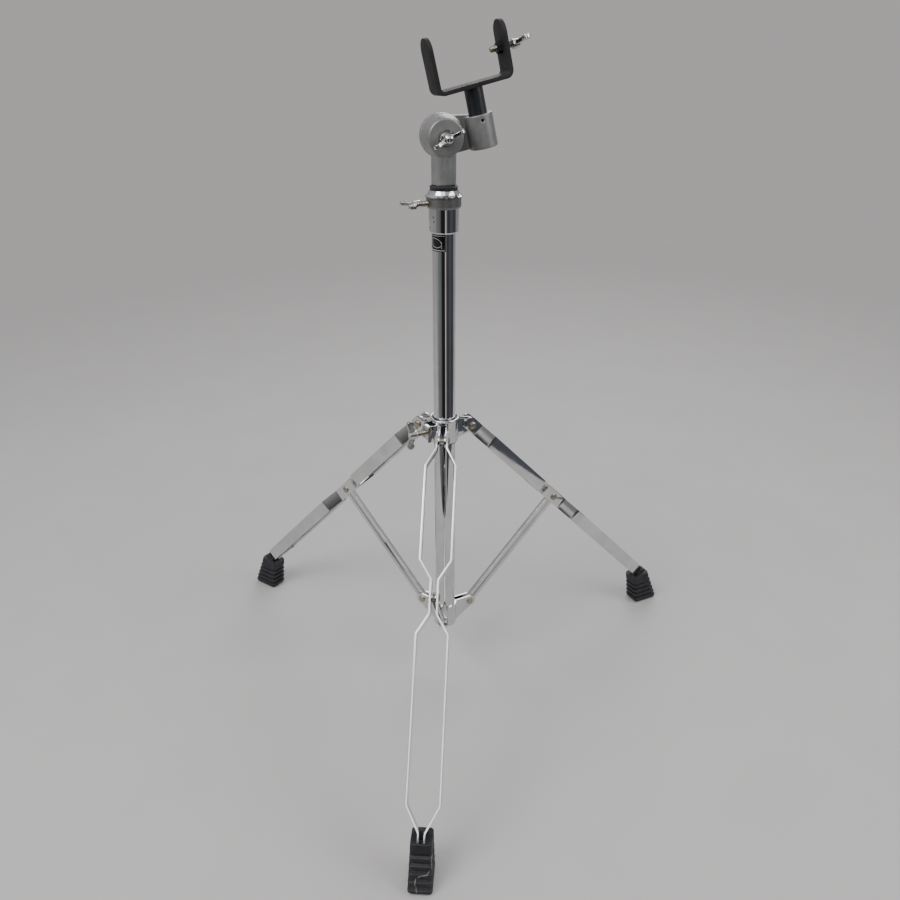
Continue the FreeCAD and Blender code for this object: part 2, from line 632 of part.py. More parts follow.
def tube_label():
    """A thin blank label wrapped part of the way round the tube."""
    film = ring(TUBE_RADIUS + LABEL_THICKNESS, TUBE_RADIUS + 0.01, LABEL_BOTTOM, SLEEVE_BOTTOM - 0.3)
    reach = 30.0
    corners = [(0, 0)]
    steps = 6                     # straight sides of a sector that is far outside the film
    for step in range(steps + 1):
        angle = math.radians(LABEL_FROM + (LABEL_TO - LABEL_FROM) * step / steps)
        corners.append((reach * math.cos(angle), reach * math.sin(angle)))
    sector = polygon_prism(corners, SLEEVE_BOTTOM)
    return at_azimuth(film.common(sector), 0)


def tube_plug():
    """The plug in the base tube's lower end."""
    plug = revolved([
        (0, TUBE_BOTTOM - 1.8), (TUBE_RADIUS - 1.0, TUBE_BOTTOM - 1.8), (TUBE_RADIUS, TUBE_BOTTOM - 0.8),
        (TUBE_RADIUS, TUBE_BOTTOM - SEAT), (TUBE_BORE - SEAT, TUBE_BOTTOM - SEAT),
        (TUBE_BORE - SEAT, TUBE_BOTTOM + 12.0), (TUBE_BORE - 2.0, TUBE_BOTTOM + 12.0),
        (TUBE_BORE - 2.0, TUBE_BOTTOM + 1.0), (0, TUBE_BOTTOM + 1.0),
    ])
    return at_azimuth(plug, 0)


# ---- tilter, drawn round its pivot: X to the right, Y to the rear, Z up ----

def at_pivot(shape):
    """Place a shape drawn round the tilter's pivot."""
    placed = shape.copy()
    placed.rotate(V(0, 0, 0), V(0, 0, 1), TILT_AZIMUTH - 270)
    placed.translate(V(0, TUBE_Y, PIVOT_Z))
    return placed


def in_head(shape):
    """Lean a shape of the tilter's moving half, and place it."""
    leaned = shape.copy()
    leaned.rotate(V(0, 0, 0), V(0, 1, 0), -HEAD_LEAN)
    return at_pivot(leaned)


def on_post(shape):
    """Place a shape drawn round the bracket post's axis, level with the pivot."""
    turned = shape.copy()
    turned.rotate(V(0, 0, 0), V(0, 0, 1), BRACKET_YAW)
    turned.translate(V(SOCKET_OFFSET, PARTING, 0))
    return in_head(turned)


def along_tilt_axis(shape):
    """Turn a shape of revolution about Z to lie along +Y."""
    turned = shape.copy()
    turned.rotate(V(0, 0, 0), V(1, 0, 0), -90)
    return turned


def drum(face, parting):
    """Half of the tilter's drum, from its flat face to the parting plane."""
    inward = math.copysign(1, parting - face)
    profile = [
        (0, face), (DRUM_FACE_RADIUS, face), (DRUM_FACE_RADIUS + 0.9, face + 0.6 * inward),
        (DRUM_RADIUS - 2.0, face + 8.5 * inward), (DRUM_RADIUS - 1.2, face + 13.0 * inward),
        (DRUM_RADIUS, face + 16.5 * inward), (DRUM_RADIUS, parting), (0, parting),
    ]
    return along_tilt_axis(revolved(profile))


def tilter_base():
    """The fixed half: the front drum on its neck, bored for the height tube and the tilt bolt."""
    front = drum(-FRONT_FACE, PARTING - SIDE_GAP)
    neck_length = PIVOT_Z - NECK_BOTTOM
    neck = Part.makeCylinder(NECK_RADIUS, neck_length, V(0, 0, -neck_length))
    relief = Part.makeBox(60, 20, 60, V(-30, PARTING - SIDE_GAP, -DRUM_RADIUS - 1.0))
    body = united([front, neck.cut(relief)])
    tube_seat = Part.makeCylinder(MAST_RADIUS + SEAT, neck_length - 20, V(0, 0, -neck_length))
    bolt_hole = cylinder_along(TILT_BOLT_RADIUS + SEAT, V(0, -30, 0), V(0, 30, 0))
    seat_floor = PARTING - SIDE_GAP - RATCHET_DEPTH
    ratchet_seat = cylinder_along(RATCHET_OUTER + SEAT, V(0, seat_floor, 0), V(0, 20, 0))
    return at_pivot(body.cut(Part.makeCompound([tube_seat, bolt_hole, ratchet_seat])))


def ratchet_ring(back, face):
    """A ring with radial teeth on the face that meets the other half."""
    inward = math.copysign(1, face - back)
    blank = along_tilt_axis(ring(RATCHET_OUTER, RATCHET_INNER, min(back, face), max(back, face)))
    tooth_depth = 1.1
    half_width = RATCHET_OUTER * math.tan(math.pi / RATCHET_TEETH) * 0.9
    notch = polygon_prism([(-half_width, face + 0.01 * inward), (half_width, face + 0.01 * inward),
                           (0, face - tooth_depth * inward)], RATCHET_OUTER + 2)
    notches = []
    for index in range(RATCHET_TEETH):
        cut = notch.copy()
        cut.rotate(V(0, 0, 0), V(0, 1, 0), 360.0 * index / RATCHET_TEETH)
        notches.append(cut)
    return blank.cut(Part.makeCompound(notches))


def tilter_head():
    """The moving half: the rear drum, an arm and the socket that holds the bracket's post."""
    rear = drum(REAR_FACE, PARTING + SIDE_GAP)
    socket_bottom = SOCKET_TOP - SOCKET_LENGTH
    arm = side_prism([(0, -DRUM_RADIUS + 1.2), (SOCKET_OFFSET, socket_bottom + 1.0),
                      (SOCKET_OFFSET, SOCKET_TOP - 1.2), (12, 16.5), (0, 16.5)], (ARM_BACK - ARM_FRONT) / 2)
    arm.translate(V(0, (ARM_BACK + ARM_FRONT) / 2, 0))
    socket = Part.makeCylinder(SOCKET_RADIUS, SOCKET_LENGTH, V(SOCKET_OFFSET, PARTING, socket_bottom))
    body = united([rear, arm, socket])
    bore = Part.makeCylinder(POST_RADIUS + POST_FIT, SOCKET_LENGTH,
                             V(SOCKET_OFFSET, PARTING, socket_bottom + SOCKET_FLOOR))
    bolt_hole = cylinder_along(TILT_BOLT_RADIUS + 0.06, V(0, 0, 0), V(0, 60, 0))
    seat_floor = PARTING + SIDE_GAP + RATCHET_DEPTH
    ratchet_seat = cylinder_along(RATCHET_OUTER + SEAT, V(0, 0, 0), V(0, seat_floor, 0))
    grub_hole = cylinder_along(GRUB_RADIUS, V(SOCKET_OFFSET, PARTING, SOCKET_TOP - GRUB_DROP),
                               V(SOCKET_OFFSET, -30, SOCKET_TOP - GRUB_DROP))
    return in_head(body.cut(Part.makeCompound([bore, bolt_hole, ratchet_seat, grub_hole])))


def socket_grub_screw():
    """The grub screw sunk in the socket's wall, with a hexagonal recess."""
    z = SOCKET_TOP - GRUB_DROP
    inner = PARTING - POST_RADIUS - 0.35
    outer = PARTING - SOCKET_RADIUS + 1.4
    screw = cylinder_along(GRUB_RADIUS - SEAT, V(SOCKET_OFFSET, inner, z), V(SOCKET_OFFSET, outer, z))
    hexagon = [(0.9 * math.cos(math.radians(60 * k)), 0.9 * math.sin(math.radians(60 * k))) for k in range(6)]
    recess = polygon_prism(hexagon, 1.2)
    recess.rotate(V(0, 0, 0), V(1, 0, 0), -90)
    recess.translate(V(SOCKET_OFFSET, outer - 0.1, z))
    return in_head(screw.cut(recess))


def tilt_bolt():
    """The bolt through both halves: a round head at the rear, its threaded end at the front."""
    bolt = revolved([
        (0, -REAR_FACE - TILT_BOLT_HEAD), (4.5, -REAR_FACE - TILT_BOLT_HEAD),
        (8.0, -REAR_FACE - TILT_BOLT_HEAD / 2), (8.5, -REAR_FACE - OPEN_PIVOT_CLEARANCE),
        (TILT_BOLT_RADIUS, -REAR_FACE - OPEN_PIVOT_CLEARANCE), (TILT_BOLT_RADIUS, TILT_BOLT_END - 0.8),
        (TILT_BOLT_RADIUS - 0.8, TILT_BOLT_END), (0, TILT_BOLT_END),
    ])
    bolt.rotate(V(0, 0, 0), V(1, 0, 0), 90)
    return at_pivot(bolt)


def tilt_spring_washer():
    """A dished spring washer on the front face."""
    start = FRONT_FACE + SEAT
    top = FRONT_FACE + SPRING_WASHER_HEIGHT
    dish = revolved([
        (TILT_BOLT_RADIUS + SEAT, top - 1.0), (8.2, start), (8.2, start + 0.9),
        (TILT_BOLT_RADIUS + SEAT, top),
    ])
    dish.rotate(V(0, 0, 0), V(1, 0, 0), 90)
    return at_pivot(dish)


def tilt_washer():
    """A flat washer under the wing nut."""
    washer = ring(7.6, TILT_BOLT_RADIUS + 0.08, WASHER_START, WASHER_START + WASHER_THICKNESS)
    washer.rotate(V(0, 0, 0), V(1, 0, 0), 90)
    return at_pivot(washer)


def tilt_wing_nut():
    """The tilter's wing nut, one wing up to the right."""
    nut = wing_head(NUT_START, 9.0, 35.0, 4.0, 6.0)
    nut = nut.cut(cylinder_along(TILT_BOLT_RADIUS + 0.08, V(0, 0, 0), V(60, 0, 0)))
    nut.rotate(V(0, 0, 0), V(1, 0, 0), -TILT_NUT_TURN)
    nut.rotate(V(0, 0, 0), V(0, 0, 1), -90)
    return at_pivot(nut)


# ---- bracket, drawn round its post: X to the right, Y to the rear, Z up the post ----

def bracket_post():
    """The bracket's round post, from the socket's floor to the bar."""
    bottom = SOCKET_TOP - SOCKET_LENGTH + SOCKET_FLOOR + SIDE_GAP
    post = Part.makeCylinder(POST_RADIUS, BAR_BOTTOM - bottom - SEAT, V(0, 0, bottom))
    return on_post(post.makeChamfer(0.8, [post.Edges[2]]))


def u_bracket():
    """The U-shaped bracket: one bent strip with rounded tips and a bolt hole in its right arm."""
    half = BRACKET_WIDTH / 2 - BRACKET_SHEET / 2
    strip = bent_strip([(-half, BRACKET_HEIGHT), (-half, BRACKET_SHEET / 2), (half, BRACKET_SHEET / 2),
                        (half, BRACKET_HEIGHT)], BRACKET_BEND, BRACKET_SHEET, BRACKET_STRIP)
    strip.rotate(V(0, 0, 0), V(1, 0, 0), 90)
    tip_radius = BRACKET_STRIP / 2
    tip_centre = BRACKET_HEIGHT - tip_radius
    outline = Part.makeBox(BRACKET_WIDTH, BRACKET_STRIP, tip_centre, V(-BRACKET_WIDTH / 2, -tip_radius, 0))
    round_tip = cylinder_along(tip_radius, V(-BRACKET_WIDTH / 2, 0, tip_centre),
                               V(BRACKET_WIDTH / 2, 0, tip_centre))
    strip = strip.common(united([outline, round_tip]))
    hole = cylinder_along(SCREW_RADIUS + SCREW_FIT, V(0, 0, BRACKET_BOLT_HEIGHT),
                          V(BRACKET_WIDTH, 0, BRACKET_BOLT_HEIGHT))
    bracket = strip.cut(hole)
    bracket.translate(V(0, 0, BAR_BOTTOM))
    return on_post(bracket)


def bracket_weld_nut():
    """The nut welded inside the bracket's right arm."""
    hexagon = [(5.6 * math.cos(math.radians(60 * k)), 5.6 * math.sin(math.radians(60 * k))) for k in range(6)]
    nut = polygon_prism(hexagon, 5.0)
    nut = nut.cut(Part.makeCylinder(SCREW_RADIUS + SCREW_FIT, 10, V(0, 0, -1)))
    nut.rotate(V(0, 0, 0), V(0, 1, 0), -90)
    nut.translate(V(BRACKET_WIDTH / 2 - BRACKET_SHEET - SEAT, 0, BAR_BOTTOM + BRACKET_BOLT_HEIGHT))
    return on_post(nut)


def bracket_wing_bolt():
    """The wing bolt through the bracket's right arm."""
    bolt = wing_screw(BRACKET_BOLT_TIP, BRACKET_BOLT_HUB, 8.0, 38.0, 6.0, 4.6)
    bolt.rotate(V(0, 0, 0), V(1, 0, 0), BRACKET_BOLT_TURN)
    bolt.translate(V(0, 0, BAR_BOTTOM + BRACKET_BOLT_HEIGHT))
    return on_post(bolt)


def export_legs():
    """The three legs, each with its strips, rivets, foot and brace."""
    strips = {"strip_left": leg_strip(1), "strip_right": leg_strip(-1)}
    mid_s = math.radians(LEG_LEAN)
    mid = (RIVET_RADIUS + LINK_LENGTH * math.sin(mid_s), COLLAR_RIVET_Z - LINK_LENGTH * math.cos(mid_s))
    low = (RIVET_RADIUS + FOOT_RIVET_AT * math.sin(mid_s), COLLAR_RIVET_Z - FOOT_RIVET_AT * math.cos(mid_s))
    spacer = pin_across(SPACER_RADIUS, low[0], low[1], FOOT_HALF - STRIP_THICKNESS / 2 - SEAT)
    foot_pin = pin_across(PIN_RADIUS, low[0], low[1], FOOT_HALF + STRIP_THICKNESS / 2)
    for leg, azimuth in LEG_AZIMUTHS.items():
        for name, strip in strips.items():
            export("leg_" + leg + "_" + name, at_azimuth(strip, azimuth))
        mid_rivet = rivet(mid[0], mid[1], MID_HALF + STRIP_THICKNESS / 2, SEAT)
        export("leg_" + leg + "_rivet", at_azimuth(mid_rivet, azimuth))
        export("leg_" + leg + "_foot_spacer", at_azimuth(united([spacer, foot_pin]), azimuth))
        export("foot_" + leg, at_azimuth(foot(), azimuth))
        export("brace_" + leg, at_azimuth(brace(), azimuth))


def export_base():
    """The base tube, its top fittings and the lower hub."""
    export("base_tube", at_azimuth(ring(TUBE_RADIUS, TUBE_BORE, TUBE_BOTTOM, TUBE_TOP), 0))
    export("tube_sleeve", tube_sleeve())
    export("height_bush", height_bush())
    export("height_clamp_ring", height_clamp_ring())
    export("height_wing_screw", height_wing_screw())
    export("height_pad", height_pad())
    export("tube_label", tube_label())
    export("tube_plug", tube_plug())
    rivets = []
    for index, azimuth in enumerate(sorted(LEG_AZIMUTHS.values())):
        export("hub_shell_" + str(index + 1), hub_shell(azimuth))
        pin = rivet(RIVET_RADIUS, HUB_RIVET_Z, HUB_GAP_HALF + HUB_SHEET, SEAT)
        rivets.append(at_azimuth(pin, azimuth))
    export("hub_rivets", Part.makeCompound(rivets))


def export_collar():
    """The sliding leg collar and its clamp."""
    export("leg_collar", leg_collar())
    export("collar_liner", collar_liner())
    export("collar_clamp_nut", collar_clamp_nut())
    export("collar_wing_bolt", collar_wing_bolt())
    export("collar_pad", collar_pad())
    pin = rivet(RIVET_RADIUS, COLLAR_RIVET_Z, EAR_HALF + STRIP_THICKNESS / 2, SIDE_GAP)
    export("collar_rivets", Part.makeCompound([at_azimuth(pin, a) for a in LEG_AZIMUTHS.values()]))


def export_mast_and_tilter():
    """The height tube, the tilter and its fasteners."""
    export("height_tube", at_azimuth(ring(MAST_RADIUS, MAST_BORE, MAST_BOTTOM, PIVOT_Z - 24.5), 0))
    guide = ring(GUIDE_RADIUS, MAST_RADIUS + MAST_FIT, MAST_BOTTOM, MAST_BOTTOM + GUIDE_HEIGHT)
    export("height_tube_guide", at_azimuth(guide, 0))
    export("tilter_base", tilter_base())
    face = PARTING - SIDE_GAP
    export("ratchet_ring_front", at_pivot(ratchet_ring(face - RATCHET_DEPTH + SEAT, face)))
    face = PARTING + SIDE_GAP
    export("ratchet_ring_rear", in_head(ratchet_ring(face + RATCHET_DEPTH - SEAT, face)))
    export("tilter_head", tilter_head())
    export("tilt_bolt", tilt_bolt())
    export("tilt_spring_washer", tilt_spring_washer())
    export("tilt_washer", tilt_washer())
    export("tilt_wing_nut", tilt_wing_nut())
    export("socket_grub_screw", socket_grub_screw())


def export_bracket():
    """The bracket and its clamp bolt."""
    export("bracket_post", bracket_post())
    export("u_bracket", u_bracket())
    export("bracket_weld_nut", bracket_weld_nut())
    export("bracket_wing_bolt", bracket_wing_bolt())


os.makedirs("parts", exist_ok=True)
export_legs()
export_base()
export_collar()
export_mast_and_tilter()
export_bracket()
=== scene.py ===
"""The looks of a folding chrome percussion stand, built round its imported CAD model.

Metres, +Z up. The tube stands a little behind the origin. One leg points along -Y, towards the camera.
"""

import json
import math

import bmesh
import bpy
from mathutils import Matrix, Vector
from mathutils.bvhtree import BVHTree


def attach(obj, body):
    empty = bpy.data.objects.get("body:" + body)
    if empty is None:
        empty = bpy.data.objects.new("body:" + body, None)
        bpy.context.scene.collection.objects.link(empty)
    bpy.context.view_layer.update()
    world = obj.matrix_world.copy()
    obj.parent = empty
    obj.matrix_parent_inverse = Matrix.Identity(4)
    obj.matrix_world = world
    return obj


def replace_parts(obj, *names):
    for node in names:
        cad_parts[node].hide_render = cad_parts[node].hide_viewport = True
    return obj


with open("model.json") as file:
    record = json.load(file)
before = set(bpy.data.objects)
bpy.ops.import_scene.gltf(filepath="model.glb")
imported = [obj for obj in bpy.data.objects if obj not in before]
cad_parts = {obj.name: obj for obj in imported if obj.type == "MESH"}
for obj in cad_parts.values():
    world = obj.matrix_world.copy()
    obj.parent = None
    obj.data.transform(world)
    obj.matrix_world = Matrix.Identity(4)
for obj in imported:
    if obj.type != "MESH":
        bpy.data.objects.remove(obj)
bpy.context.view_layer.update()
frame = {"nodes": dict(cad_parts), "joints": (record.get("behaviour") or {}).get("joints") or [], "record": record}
NODES = frame["nodes"]
MM = 0.001
LEGS = ("front", "right", "left")
BODIES = frame["record"]["behaviour"]["bodies"]
BODY_OF = {node: body for body, nodes in BODIES.items() for node in nodes}
SLOT_OF = {part["node"]: part["material_slot"] for part in frame["record"]["subparts"]}
JOINTS = {joint["name"]: joint for joint in frame["joints"]}
TUBE_Y = JOINTS["mast_swivel"]["pos_m"][1]

# ---- camera ----
CAMERA_PLACE = (0.0654, -0.7918, 0.7488)
CAMERA_TILT = 63.82           # degrees up from looking straight down
CAMERA_TURN = 3.86            # degrees to the left of looking along +Y
CAMERA_LENS = 32.8            # on a sensor of this width, both in millimetres
CAMERA_SENSOR = 36.0

# ---- studio ----
FLOOR_RADIUS = 3.2
FLOOR_DROP = 0.0002           # the floor lies this far under the feet
FLOOR_FADES = (0.9, 2.9)      # the floor turns into the plain background between these distances
FLOOR_FRONT = -0.32           # reflections see the dark room beyond this, just in front of the picture
FLOOR_RIGHT = 0.66            # and to the right of a slanting line through this place
FLOOR_SLANT = 0.5             # how far that line moves right for each metre back
FLOOR_COLOUR = (0.45, 0.435, 0.428)
FLOOR_PATCHES = 0.96          # brightness of its darker patches
BACKGROUND = (0.42, 0.405, 0.40)
CEILING = (0.62, 0.63, 0.65)
CEILING_FADES = (0.15, 0.80)  # the walls turn into the ceiling between these upward shares of a direction
LIGHTS = {
    # name: (place, target, width and length, watts)
    "key": ((-1.3, -1.2, 2.0), (0, 0.05, 0.35), (1.3, 1.3), 42.0),
    "fill": ((1.6, -0.4, 1.5), (0, 0.05, 0.35), (1.2, 1.2), 18.0),
    "back": ((0.3, 1.9, 1.9), (0, 0.05, 0.5), (1.4, 1.4), 24.0),
    "front": ((-0.12, -1.6, 1.7), (0, -0.15, 0.2), (0.8, 1.7), 7.0),
}

CHROME_TINT = (0.64, 0.645, 0.65)

# ---- pressed and cast parts, in millimetres ----
STRIP_EDGE = 0.55             # widths of the rounded edges
PRESSED_EDGE = 0.35
BRACKET_EDGE = 0.7
BOLT_EDGE = 0.4
TILTER_SKINS = {"tilter_base": (0.45, 14), "tilter_head": (0.45, 10)}   # voxel size, smoothing passes
FOOT_SKIN = (0.4, 3)
SCREW_SKIN = (0.25, 5)
MERGE_DISTANCE = 0.002        # split corners closer than this are joined

# ---- screws, in millimetres ----
THREAD_SHARE = 0.55           # depth of a thread, as a share of its pitch
THREAD_ROWS = (0.0, 0.15, 0.75, 1.0, 0.85, 0.2)   # height of one ridge, step by step along the axis
THREAD_SEGMENTS = 40          # steps round the axis
CORE_GAP = 0.01               # the core stays this far under the thread's root
TIP_CHAMFER = (0.6, 0.5)      # length and depth
THREAD_MARGIN = 0.4           # a thread starts and ends this far inside its rod
ROD_OVERLAP = 1.5             # a rod runs this far into its head
WING_SCREWS = {
    # node: (joint on its axis, where its head starts after its inner end, thread radius, pitch)
    "collar_wing_bolt": ("collar_wing_bolt_spin", 18.4, 3.0, 1.0),
    "height_wing_screw": ("height_wing_screw_spin", 10.1, 3.0, 1.0),
    "bracket_wing_bolt": ("bracket_wing_bolt_spin", 24.0, 3.0, 1.0),
}
TILT_BOLT_RADIUS = 3.95
TILT_BOLT_PITCH = 1.25
TILT_BOLT_CUT = 2.0           # its plain shank ends this far beyond the wing nut's inner face

# ---- marks, in millimetres and degrees round the tube ----
RING_FLANGE = 610.8           # height of the clamp ring's flange, where its plate turns bright
LABEL_SKIN = 12.95            # radius of the label's face
LABEL_LINE_HEIGHT = 0.05
LABEL_LINES = {
    # name: (line width, closed, corners as azimuth and height)
    "emblem": (0.55, True, [(212, 569.5), (230, 569.2), (250, 567.6), (261, 565.0), (262, 562.2),
                            (250, 559.9), (230, 559.9), (212, 561.4), (208, 565.4)]),
    "top_line": (0.5, False, [(186, 572.2), (215, 572.0), (245, 571.9), (277, 571.9)]),
    "low_line": (0.9, False, [(186, 557.2), (215, 557.0), (245, 556.9), (277, 556.9)]),
    "stem": (0.4, False, [(263, 566.0), (263.3, 561.0), (263, 558.6)]),
}
LABEL_STEPS = 8               # points between two corners of a line
PIT_FLOOR = 15.1              # radius of the bottom of the sleeve's punched pits
PIT_PROFILE = [(0.02, 0.86), (0.45, 0.86), (0.40, 0.6), (0.10, 0.1)]   # height and radius, a shallow cup
PITS = [(231.0, 591.0), (234.0, 586.3), (209.0, 580.0)]                # azimuth and height
FLASH_LINE = [                # corners across and up, seen from the front
    (11.0, 46.0), (11.3, 40.0), (10.6, 34.0), (11.3, 28.0), (9.6, 23.6), (5.5, 22.0),
    (1.0, 21.4), (-3.2, 18.5), (-4.8, 14.0), (-4.2, 9.5), (-2.6, 4.5),
]
FLASH_STEPS = 14
FLASH_SIZE = (0.55, 0.12)     # width and height


# ---------------------------------------------------------------- camera, floor and light

def add_camera():
    """The camera, looking down at the stand from the front."""
    data = bpy.data.cameras.new("camera")
    data.lens = CAMERA_LENS
    data.sensor_width = CAMERA_SENSOR
    camera = bpy.data.objects.new("camera", data)
    camera.location = CAMERA_PLACE
    camera.rotation_euler = (math.radians(CAMERA_TILT), 0, math.radians(CAMERA_TURN))
    bpy.context.scene.collection.objects.link(camera)
    bpy.context.scene.camera = camera


def add_floor():
    """A plain pale floor that fades into the background; mirrors see the room in front of it."""
    shape = bmesh.new()
    bmesh.ops.create_circle(shape, cap_ends=True, radius=FLOOR_RADIUS, segments=128)
    mesh = bpy.data.meshes.new("floor")
    shape.to_mesh(mesh)
    shape.free()
    floor = bpy.data.objects.new("floor", mesh)
    floor.location = (0, 0, -FLOOR_DROP)
    bpy.context.scene.collection.objects.link(floor)
    paint = Surface("floor_paint", colour=FLOOR_COLOUR, roughness=0.9)
    dark = tuple(channel * FLOOR_PATCHES for channel in FLOOR_COLOUR)
    paint.feed("Base Color", paint.ramp(paint.noise(9.0, 4.0), [(0.3, dark), (0.7, FLOOR_COLOUR)]))
    fade_floor(paint)
    mesh.materials.append(paint.material)


def fade_floor(paint):
    """Fade the floor's paint into the background, and hide its front from reflections."""
    tree = paint.tree
    split = tree.nodes.new("ShaderNodeSeparateXYZ")
    tree.links.new(paint.place, split.inputs[0])
    across = paint.maths("MULTIPLY", split.outputs["X"], split.outputs["X"])
    along = paint.maths("MULTIPLY", split.outputs["Y"], split.outputs["Y"])
    distance = paint.maths("SQRT", paint.maths("ADD", across, along), 0.0)
    plain = tree.nodes.new("ShaderNodeEmission")
    plain.inputs["Color"].default_value = (*BACKGROUND, 1)
    faded = tree.nodes.new("ShaderNodeMixShader")
    tree.links.new(paint.span(distance, *FLOOR_FADES, 0.0, 1.0), faded.inputs[0])
    tree.links.new(paint.shader.outputs[0], faded.inputs[1])
    tree.links.new(plain.outputs[0], faded.inputs[2])
    path = tree.nodes.new("ShaderNodeLightPath")
    unseen = paint.maths("LESS_THAN", path.outputs["Is Camera Ray"], 0.5)
    in_front = paint.maths("LESS_THAN", split.outputs["Y"], FLOOR_FRONT)
    leaning = paint.maths("MULTIPLY", split.outputs["Y"], -FLOOR_SLANT)
    slant = paint.maths("ADD", split.outputs["X"], leaning)
    outside = paint.maths("MAXIMUM", in_front, paint.maths("GREATER_THAN", slant, FLOOR_RIGHT))
    clear = tree.nodes.new("ShaderNodeBsdfTransparent")
    parted = tree.nodes.new("ShaderNodeMixShader")
    tree.links.new(paint.maths("MULTIPLY", unseen, outside), parted.inputs[0])
    tree.links.new(faded.outputs[0], parted.inputs[1])
    tree.links.new(clear.outputs[0], parted.inputs[2])
    tree.links.new(parted.outputs[0], tree.nodes["Material Output"].inputs["Surface"])


def add_light(name, place, target, size, power):
    """A soft white light panel that faces a point; size is its width and its length, in metres."""
    data = bpy.data.lights.new(name, "AREA")
    data.shape = "RECTANGLE"
    data.size, data.size_y = size
    data.energy = power
    light = bpy.data.objects.new(name, data)
    light.location = place
    light.rotation_euler = (Vector(target) - Vector(place)).to_track_quat("-Z", "Y").to_euler()
    bpy.context.scene.collection.objects.link(light)


def add_world():
    """A studio round the floor: pale walls behind, a dim room with bright panels in front."""
    world = bpy.data.worlds.new("studio")
    world.use_nodes = True
    bpy.context.scene.world = world
    tree = world.node_tree
    tree.nodes.clear()
    make = tree.nodes.new
    direction = make("ShaderNodeTexCoord").outputs["Generated"]
    split = make("ShaderNodeSeparateXYZ")
    tree.links.new(direction, split.inputs[0])
    flipped = make("ShaderNodeMath")
    flipped.operation = "MULTIPLY"
    flipped.inputs[1].default_value = -1.0
    tree.links.new(split.outputs["Y"], flipped.inputs[0])
    azimuth = make("ShaderNodeMath")
    azimuth.operation = "ARCTAN2"
    tree.links.new(split.outputs["X"], azimuth.inputs[0])
    tree.links.new(flipped.outputs[0], azimuth.inputs[1])
    turn = make("ShaderNodeMapRange")
    turn.inputs["From Min"].default_value = -math.pi
    turn.inputs["From Max"].default_value = math.pi
    tree.links.new(azimuth.outputs[0], turn.inputs["Value"])
    walls = make("ShaderNodeValToRGB")
    room = [
        (-180, grey(0.34)), (-100, grey(0.34)), (-62, grey(0.36)), (-52, grey(0.22)), (-34, grey(0.19)),
        (-22, grey(0.13)), (-15, (0.022, 0.020, 0.026)), (8, (0.020, 0.018, 0.026)), (13, grey(0.07)),
        (17, grey(0.75)), (21, grey(0.62)), (25, (0.16, 0.13, 0.13)), (40, (0.045, 0.040, 0.045)),
        (52, (0.075, 0.078, 0.085)), (68, (0.10, 0.11, 0.13)), (84, (0.06, 0.06, 0.065)),
        (100, (0.07, 0.07, 0.07)), (115, grey(0.33)), (180, grey(0.34)),
    ]
    set_stops(walls, [((angle + 180) / 360, colour) for angle, colour in room])
    tree.links.new(turn.outputs[0], walls.inputs[0])
    height = make("ShaderNodeMapRange")
    height.inputs["From Min"].default_value, height.inputs["From Max"].default_value = CEILING_FADES
    tree.links.new(split.outputs["Z"], height.inputs["Value"])
    ceiling = make("ShaderNodeMix")
    ceiling.data_type = "RGBA"
    tree.links.new(height.outputs[0], ceiling.inputs[0])
    tree.links.new(walls.outputs[0], ceiling.inputs[6])
    ceiling.inputs[7].default_value = (*CEILING, 1)
    lit = make("ShaderNodeBackground")
    tree.links.new(ceiling.outputs[2], lit.inputs[0])
    plain = make("ShaderNodeBackground")
    plain.inputs[0].default_value = (*BACKGROUND, 1)
    path = make("ShaderNodeLightPath")
    choose = make("ShaderNodeMixShader")
    tree.links.new(path.outputs["Is Camera Ray"], choose.inputs[0])
    tree.links.new(lit.outputs[0], choose.inputs[1])
    tree.links.new(plain.outputs[0], choose.inputs[2])
    output = make("ShaderNodeOutputWorld")
    tree.links.new(choose.outputs[0], output.inputs[0])


def grey(value):
    """A neutral colour."""
    return (value, value, value)


def set_stops(ramp, stops):
    """Give a colour ramp its stops: (place from 0 to 1, colour)."""
    elements = ramp.color_ramp.elements
    while len(elements) > 1:
        elements.remove(elements[-1])
    elements[0].position = stops[0][0]
    elements[0].color = (*stops[0][1], 1)
    for place, colour in stops[1:]:
        element = elements.new(place)
        element.color = (*colour, 1)


# ---------------------------------------------------------------- materials

